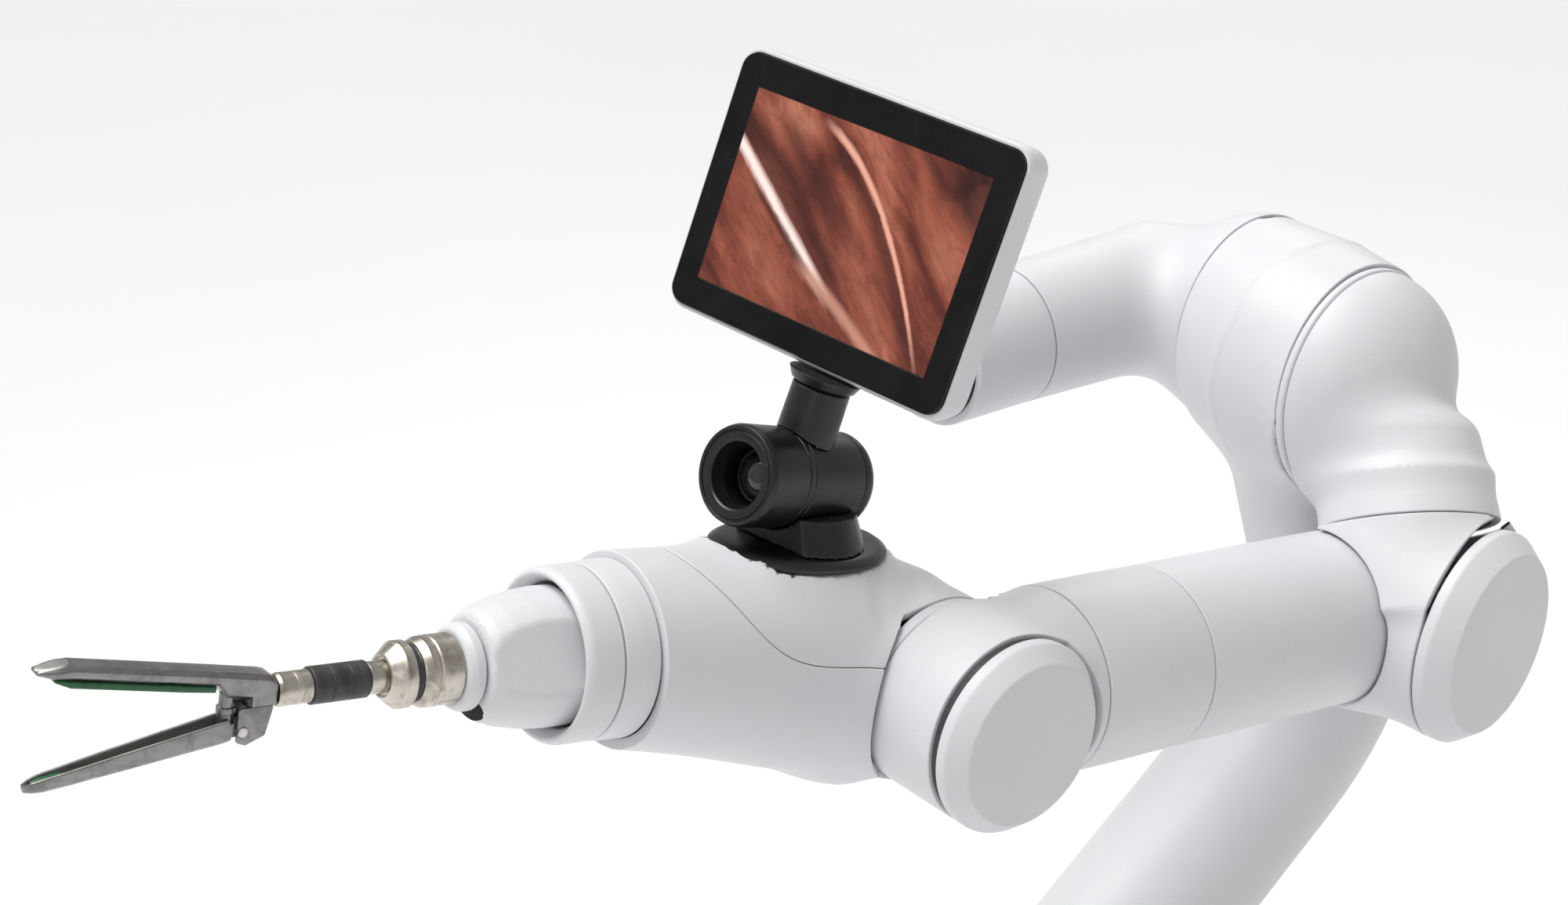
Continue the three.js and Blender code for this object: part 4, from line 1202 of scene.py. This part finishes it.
def loft(name, stations, origin, forward, up, material, body, stands_for=(), sharp=30,
    bevel=0.22):
    """Sections along forward: each station is (forward, [(side, up), ...]), all with as many corners."""
    side = np.cross(forward, up)
    work = bmesh.new()
    rows = []
    for f, section in stations:
        rows.append([work.verts.new((origin + forward * f + side * s + up * g) * MM) for s, g in section])
    n = len(rows[0])
    for a, b in zip(rows, rows[1:]):
        for i in range(n):
            k = (i + 1) % n
            work.faces.new((a[i], a[k], b[k], b[i]))
    work.faces.new(list(reversed(rows[0])))
    work.faces.new(rows[-1])
    bmesh.ops.recalc_face_normals(work, faces=work.faces[:])
    rim = [e for e in work.edges if e.calc_face_angle(0) > math.radians(22)]
    bmesh.ops.bevel(work, geom=rim, offset=bevel * MM, segments=2, profile=0.5, affect="EDGES",
        clamp_overlap=True)
    work.verts.index_update()
    verts = np.array([v.co[:] for v in work.verts]) / MM
    faces = [[v.index for v in f.verts] for f in work.faces]
    work.free()
    return piece(name, verts, faces, material, body, stands_for, sharp=sharp)


def bar_section(half, low, top, cut):
    """An octagon with equal chamfers."""
    return [(-half, low + cut), (-half + cut, low), (half - cut, low), (half, low + cut), (half, top - cut),
            (half - cut, top), (-half + cut, top), (-half, top - cut)]


def upper_jaw():
    origin, forward, up = tilted((145.5, 1), 9.3)
    stations = [(-2.6, bar_section(4.6, -2.4, 5.2, 1.3)), (0, bar_section(5.0, -2.8, 6.6, 1.7)),
        (3, bar_section(5.0, -3.0, 7.0, 1.9)),
                (14, bar_section(5.0, -2.6, 7.0, 1.9)), (18, bar_section(5.0, 1.6, 7.0, 1.7)),
                (71, bar_section(5.0, 1.6, 7.0, 1.7)),
                (76.5, bar_section(4.7, 1.8, 5.4, 1.1)), (81.6, bar_section(3.0, 2.4, 3.6, 0.4))]
    loft("jaw_bar", stations, origin, forward, up, steel, "instrument", "upper_jaw",
        bevel=0.28)
    # The pale slanted face at the tip stands a little inside the bar's outline.
    slope = unit(forward * 10 - up * 3.4)
    centre = origin + forward * 76.6 + up * 5.25
    side = np.cross(forward, up)
    normal = unit(np.cross(side, slope))
    if normal @ up < 0:
        normal = -normal
    verts, faces, n = [], [], 40
    for k, (shrink, h) in enumerate(((1.0, -0.5), (1.0, 0.12), (0.94, 0.26), (0.5, 0.3))):
        for i in range(n):
            a = 2 * math.pi * i / n
            x = math.copysign(abs(math.cos(a)) ** 0.75, math.cos(a)) * 5.4 * shrink
            y = math.copysign(abs(math.sin(a)) ** 0.85, math.sin(a)) * 3.5 * shrink * (1 - 0.16
                * math.cos(a))
            verts.append(centre + slope * x + side * y + normal * h)
    for k in range(3):
        faces += [(k * n + i, k * n + (i + 1) % n, (k + 1) * n + (i + 1) % n, (k + 1) * n + i)
            for i in range(n)]
    faces += [tuple(reversed(range(n))), tuple(3 * n + i for i in range(n))]
    piece("jaw_tip_face", verts, faces, bright_steel_and_highlight, "instrument")
    strip = [(19, bar_section(4.1, -0.7, 1.5, 0.4)), (30, bar_section(4.3, -0.9, 1.5, 0.4)),
        (70, bar_section(4.3, -0.9, 1.5, 0.4)),
             (75.4, bar_section(3.4, 0.4, 1.5, 0.3))]
    loft("jaw_pad_strip", strip, origin, forward, up, pad, "instrument", "upper_jaw_pad",
        bevel=0.15)
    root, ahead, lift = tilted((141.4, 0), 0)
    block = [(0, bar_section(4.4, -4.6, 5.2, 1.5)), (1.2, bar_section(4.8, -5.0, 6.0, 1.7)),
        (9.5, bar_section(4.8, -5.0, 5.6, 1.7))]
    loft("jaw_root", block, root, ahead, lift, steel, "instrument", bevel=0.3)
    ear = [(1.2, -3.4), (3.6, -14.3), (10.6, -17.3), (14.0, -16.0), (14.2, -3.4)]
    for name, sign in (("near", 1), ("far", -1)):
        at = root + np.cross(ahead, lift) * (sign * 4.2)
        prism(f"jaw_ear_{name}", ear, 0.7, at, ahead, lift, steel, "instrument",
            bevel=0.25, corner=1.0)
    pin = TOOL + TOOL_AXIS * 153.5 - LIFT * 12
    lathe("jaw_pin_rod", [(0, -5.5), (1.7, -5.5), (1.8, -5.2), (1.8, 5.2), (1.7, 5.5), (0, 5.5)], pin, Y,
        bright_steel_and_highlight, "instrument", "jaw_pin", 0.2, 48)


def lower_jaw():
    origin, forward, up = tilted((156.5, -7), -9.3)

    def channel(half, low, top, wall, floor, cut=1.2):
        """An open channel's section, as one loop."""
        inner = half - wall
        return [(-half, low + cut), (-half + cut, low), (half - cut, low), (half, low + cut),
            (half, top - 0.4), (half - 0.35, top),
                (inner + 0.3, top), (inner, top - 0.4), (inner * 0.8, floor), (-inner * 0.8, floor),
                (-inner, top - 0.4),
                (-inner - 0.3, top), (-half + 0.35, top), (-half, top - 0.4)]

    stations = [(1.8, channel(4.3, -8.3, -0.2, 1.3, -4.8)), (4, channel(4.4, -8.5, -0.2, 1.2, -5.0)),
        (20, channel(4.0, -8.4, -0.9, 1.1, -5.3)),
                (40, channel(3.5, -8.2, -1.7, 1.0, -5.6)), (58, channel(3.0, -8.0, -2.6, 0.95, -5.8)),
                (66, channel(2.7, -7.8, -2.95, 0.95, -5.4)),
                (69.5, channel(2.2, -7.2, -3.4, 0.9, -4.6, 0.9)), (72, channel(1.3, -6.4, -4.1, 0.6, -4.5,
                0.5))]
    loft("jaw_channel", stations, origin, forward, up, steel, "moving_jaw", "lower_jaw",
        bevel=0.16)
    side = np.cross(forward, up)
    for name, sign in (("near", 1), ("far", -1)):
        # A painted highlight along each rim: a thin tube of bright steel where the edge catches the light.
        line = [(2.2, 3.8, -0.2), (20, 3.45, -0.9), (40, 3.0, -1.7), (58, 2.5, -2.6), (66, 2.25, -2.95),
            (69.5, 1.75, -3.4)]
        verts, faces, n = [], [], 8
        for f, s, g in line:
            for i in range(n):
                a = 2 * math.pi * i / n
                verts.append(origin + forward * f + side * (sign * (s + 0.05)) + up * (g - 0.08) + side
                    * 0.42 * math.cos(a) + up * 0.26 * math.sin(a))
        for k in range(len(line) - 1):
            faces += [(k * n + i, k * n + (i + 1) % n, (k + 1) * n + (i + 1) % n, (k + 1) * n + i)
                for i in range(n)]
        faces += [tuple(reversed(range(n))), tuple((len(line) - 1) * n + i for i in range(n))]
        piece(f"jaw_rim_highlight_{name}", verts, faces, bright_steel_and_highlight, "moving_jaw")
    tang = [(-8.3, -2.8), (1.2, -2.2), (2.4, -7.3), (-5.8, -8.2)]
    prism("jaw_tang", tang, 3.0, origin, forward, up, steel, "moving_jaw", bevel=0.3,
        corner=1.0)
    insert = [(59, [(-1.6, -5.6), (1.6, -5.6), (1.8, -3.9), (0, -3.6), (-1.8, -3.9)]),
        (66, [(-1.4, -5.3), (1.4, -5.3), (1.5, -3.6), (0, -3.3), (-1.5, -3.6)]),
              (69.4, [(-0.7, -4.8), (0.7, -4.8), (0.8, -3.8), (0, -3.6), (-0.8, -3.8)])]
    loft("jaw_insert", insert, origin, forward, up, pad, "moving_jaw", "lower_jaw_insert",
        bevel=0.12)
    foot = TOOL + TOOL_AXIS * 158.2 - LIFT * 11.3
    post = [(0, 0), (2.9, 0), (2.9, 5.2), (3.3, 5.5), (3.3, 7.6), (2.6, 7.9), (2.6, 13.0), (0, 13.2)]
    lathe("jaw_post", post, foot, LIFT, steel, "moving_jaw", "jaw_strut", 0.25, 56)


def small_camera():
    r = 20.5
    barrel = [(0, -23.9), (r - 0.3, -23.9), (r, -23.6), (r, 7.4), (r - 0.35, 7.7), (r - 0.35, 8.2),
        (r, 8.5), (r, 10.7), (r - 0.3, 11), (0, 11)]
    lathe("barrel", barrel, CAMERA, BARREL, black, "camera", "camera_barrel", 0.25, 160)
    ring = [(r + 0.1, 11.6), (r + 0.3, 12.0), (r + 0.3, 31.5), (r - 0.6, 34.0), (18.6, 34.2), (18.2, 33.3),
        (17.8, 33.3), (17.4, 33.9),
            (14.4, 33.9), (13.6, 33.2), (12.4, 27.0), (12.4, 16.2), (16, 15.8), (16, 11.6)]
    radii = [0.2, 0.2, 1.6, 0.5, 0.3, 0.15, 0.15, 0.3, 0.5, 0.5, 0.6, 0.2, 0.2, 0.2]
    lathe("focus_ring_body", ring, CAMERA, BARREL, black, "focus_ring", "camera_front_ring",
        radii, 168, True, 5)
    cell = [(0, 15.4), (11.5, 15.4), (11.5, 19.0), (11.0, 20.4), (10.4, 20.4), (9.8, 19.0), (0, 19.0)]
    lathe("lens_cell", cell, CAMERA, BARREL, black_soft, "camera", radius=0.3, count=96)
    dome = [(9.6, 19.1)] + [(9.6 * math.cos(a), 19.3 + 5.2 * math.sin(a)) for a in np.linspace(0.08,
        math.pi / 2 - 0.05, 14)] + [(0, 24.5)]
    lathe("lens_dome", [(0, 19.1), *dome], CAMERA, BARREL, glass, "camera", "camera_lens", 0,
        96)
    rear = [(0, -24.4), (r - 0.5, -24.4), (r - 0.2, -24.8), (r - 0.2, -27.6), (r - 1.2, -30.2),
        (r - 3.6, -32), (0, -32)]
    lathe("barrel_cap", rear, CAMERA, BARREL, black, "camera", "camera_rear_cap",
        [0, 0.2, 0.3, 2.4, 2.2, 2, 0], 160, steps=6)

    def stem(P):
        post = cone(P, CAMERA + STEM * 8, CAMERA + STEM * 40, 12.6, 12.1, 0.8)
        body = cone(P, CAMERA - BARREL * 26, CAMERA + BARREL * 40, r + 0.3, r + 0.3)
        return smooth_max(post, -body, 0.5)

    shell("stem_post", stem, (-100, -45, 598), (-58, -8, 634), [], black, "camera", "monitor_stem",
        step=0.9)
    foot = [(0, 40.8), (12.6, 40.8), (13.4, 41.2), (15.3, 44.8), (15.3, 45.2), (0, 45.2)]
    lathe("foot_flare", foot, CAMERA, STEM, black, "monitor", "monitor_foot",
        [0, 0.4, 0.6, 0.5, 0.2, 0], 96)


def rounded_outline(width, height, corner, steps=10):
    points = []
    for cx, cy, start in ((1, -1, -90), (1, 1, 0), (-1, 1, 90), (-1, -1, 180)):
        for k in range(steps + 1):
            a = math.radians(start + 90 * k / steps)
            points.append((cx * (width / 2 - corner) + corner * math.cos(a), cy * (height / 2 - corner)
                + corner * math.sin(a)))
    return points


def slab_rings(name, rings, steps, material, stands_for=(), hole=None, uv=None):
    """A slab of nested rounded rectangles: each ring is (width, height, corner, depth behind the front)."""
    across = unit(np.cross(STEM, SCREEN_NORMAL))
    facing = np.cross(across, STEM)
    verts, faces = [], []
    count = 4 * (steps + 1)
    for width, height, corner, depth in rings:
        verts += [SCREEN + across * x + STEM * y - facing * depth for x, y in rounded_outline(width, height,
            corner, steps)]
    for k in range(len(rings) - 1):
        a, b = k * count, (k + 1) * count
        faces += [(a + i, a + (i + 1) % count, b + (i + 1) % count, b + i) for i in range(count)]
    if hole is None:
        faces.append(tuple(reversed(range(count))))
        faces.append(tuple((len(rings) - 1) * count + i for i in range(count)))
    else:
        a, b = (len(rings) - 1) * count, 0
        faces += [(a + i, a + (i + 1) % count, b + (i + 1) % count, b + i) for i in range(count)]
    return piece(name, verts, faces, material, "monitor", stands_for, sharp=32)


def monitor():
    shellrings = [(136.4, 108.4, 7.2, 2.4), (137.4, 109.4, 7.8, 1.8), (139.2, 111.2, 8.6, 1.9),
        (140.6, 112.6, 9.2, 3.2), (141, 113, 9.4, 5.0),
                  (141, 113, 9.4, 14.0), (139.6, 111.6, 9.0, 18.2), (136.6, 108.6, 8.4, 20.4),
                  (131, 103, 7.6, 21), (60, 40, 4, 21)]
    slab_rings("screen_casing", shellrings, 10, white, "monitor_rear_shell")
    glassrings = [(114.4, 82.4, 0.6, 2.3), (114.4, 82.4, 0.6, 0.35), (114.9, 82.9, 0.8, 0.0), (135.8, 107.8,
        7.0, 0.0), (136.6, 108.6, 7.4, 0.5), (136.6, 108.6, 7.4, 2.3)]
    slab_rings("cover_glass", glassrings, 10, front, "monitor_front_bezel", hole=True)
    across = unit(np.cross(STEM, SCREEN_NORMAL))
    facing = np.cross(across, STEM)
    w, h = 57.1, 41.1
    nx, ny = 24, 18
    verts, uv, faces = [], [], []
    for j in range(ny + 1):
        for i in range(nx + 1):
            s, t = i / nx, j / ny
            verts.append(SCREEN + across * (w * (2 * s - 1)) + STEM * (h * (2 * t - 1)) - facing * 0.3)
            uv.append((s, t))
    for j in range(ny):
        for i in range(nx):
            a = j * (nx + 1) + i
            faces.append((a, a + 1, a + nx + 2, a + nx + 1))
    base = len(verts)
    rim = [(-w, -h), (w, -h), (w, h), (-w, h)]
    verts += [SCREEN + across * x + STEM * y - facing * 1.9 for x, y in rim]
    uv += [(0, 0), (1, 0), (1, 1), (0, 1)]
    edges = [[j for j in range(nx + 1)], [nx + j * (nx + 1) for j in range(ny + 1)],
        [(nx + 1) * (ny + 1) - 1 - j for j in range(nx + 1)],
             [(nx + 1) * ny - j * (nx + 1) for j in range(ny + 1)]]
    for k, edge in enumerate(edges):
        faces.append(tuple([base + (k + 1) % 4, base + k] + edge))
    faces.append((base, base + 3, base + 2, base + 1))
    panel = piece("display_panel", verts, faces, picture, "monitor", "monitor_display", uv=uv)
    return panel


def finish_cad_nodes():
    """CAD nodes that stay in view get machined metal or board finishes."""
    board = board_material()
    looks = {"monitor_board": board}
    for name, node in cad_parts.items():
        if node.hide_render:
            continue
        node.data.materials.clear()
        node.data.materials.append(looks.get(name, drives))


add_camera()
add_stage()
base_and_turret()
lower_arm()
front_link()
rear_link()
elbow()
forearm()
wrist()
tool_head()
instrument()
upper_jaw()
lower_jaw()
small_camera()
monitor()
finish_cad_nodes()
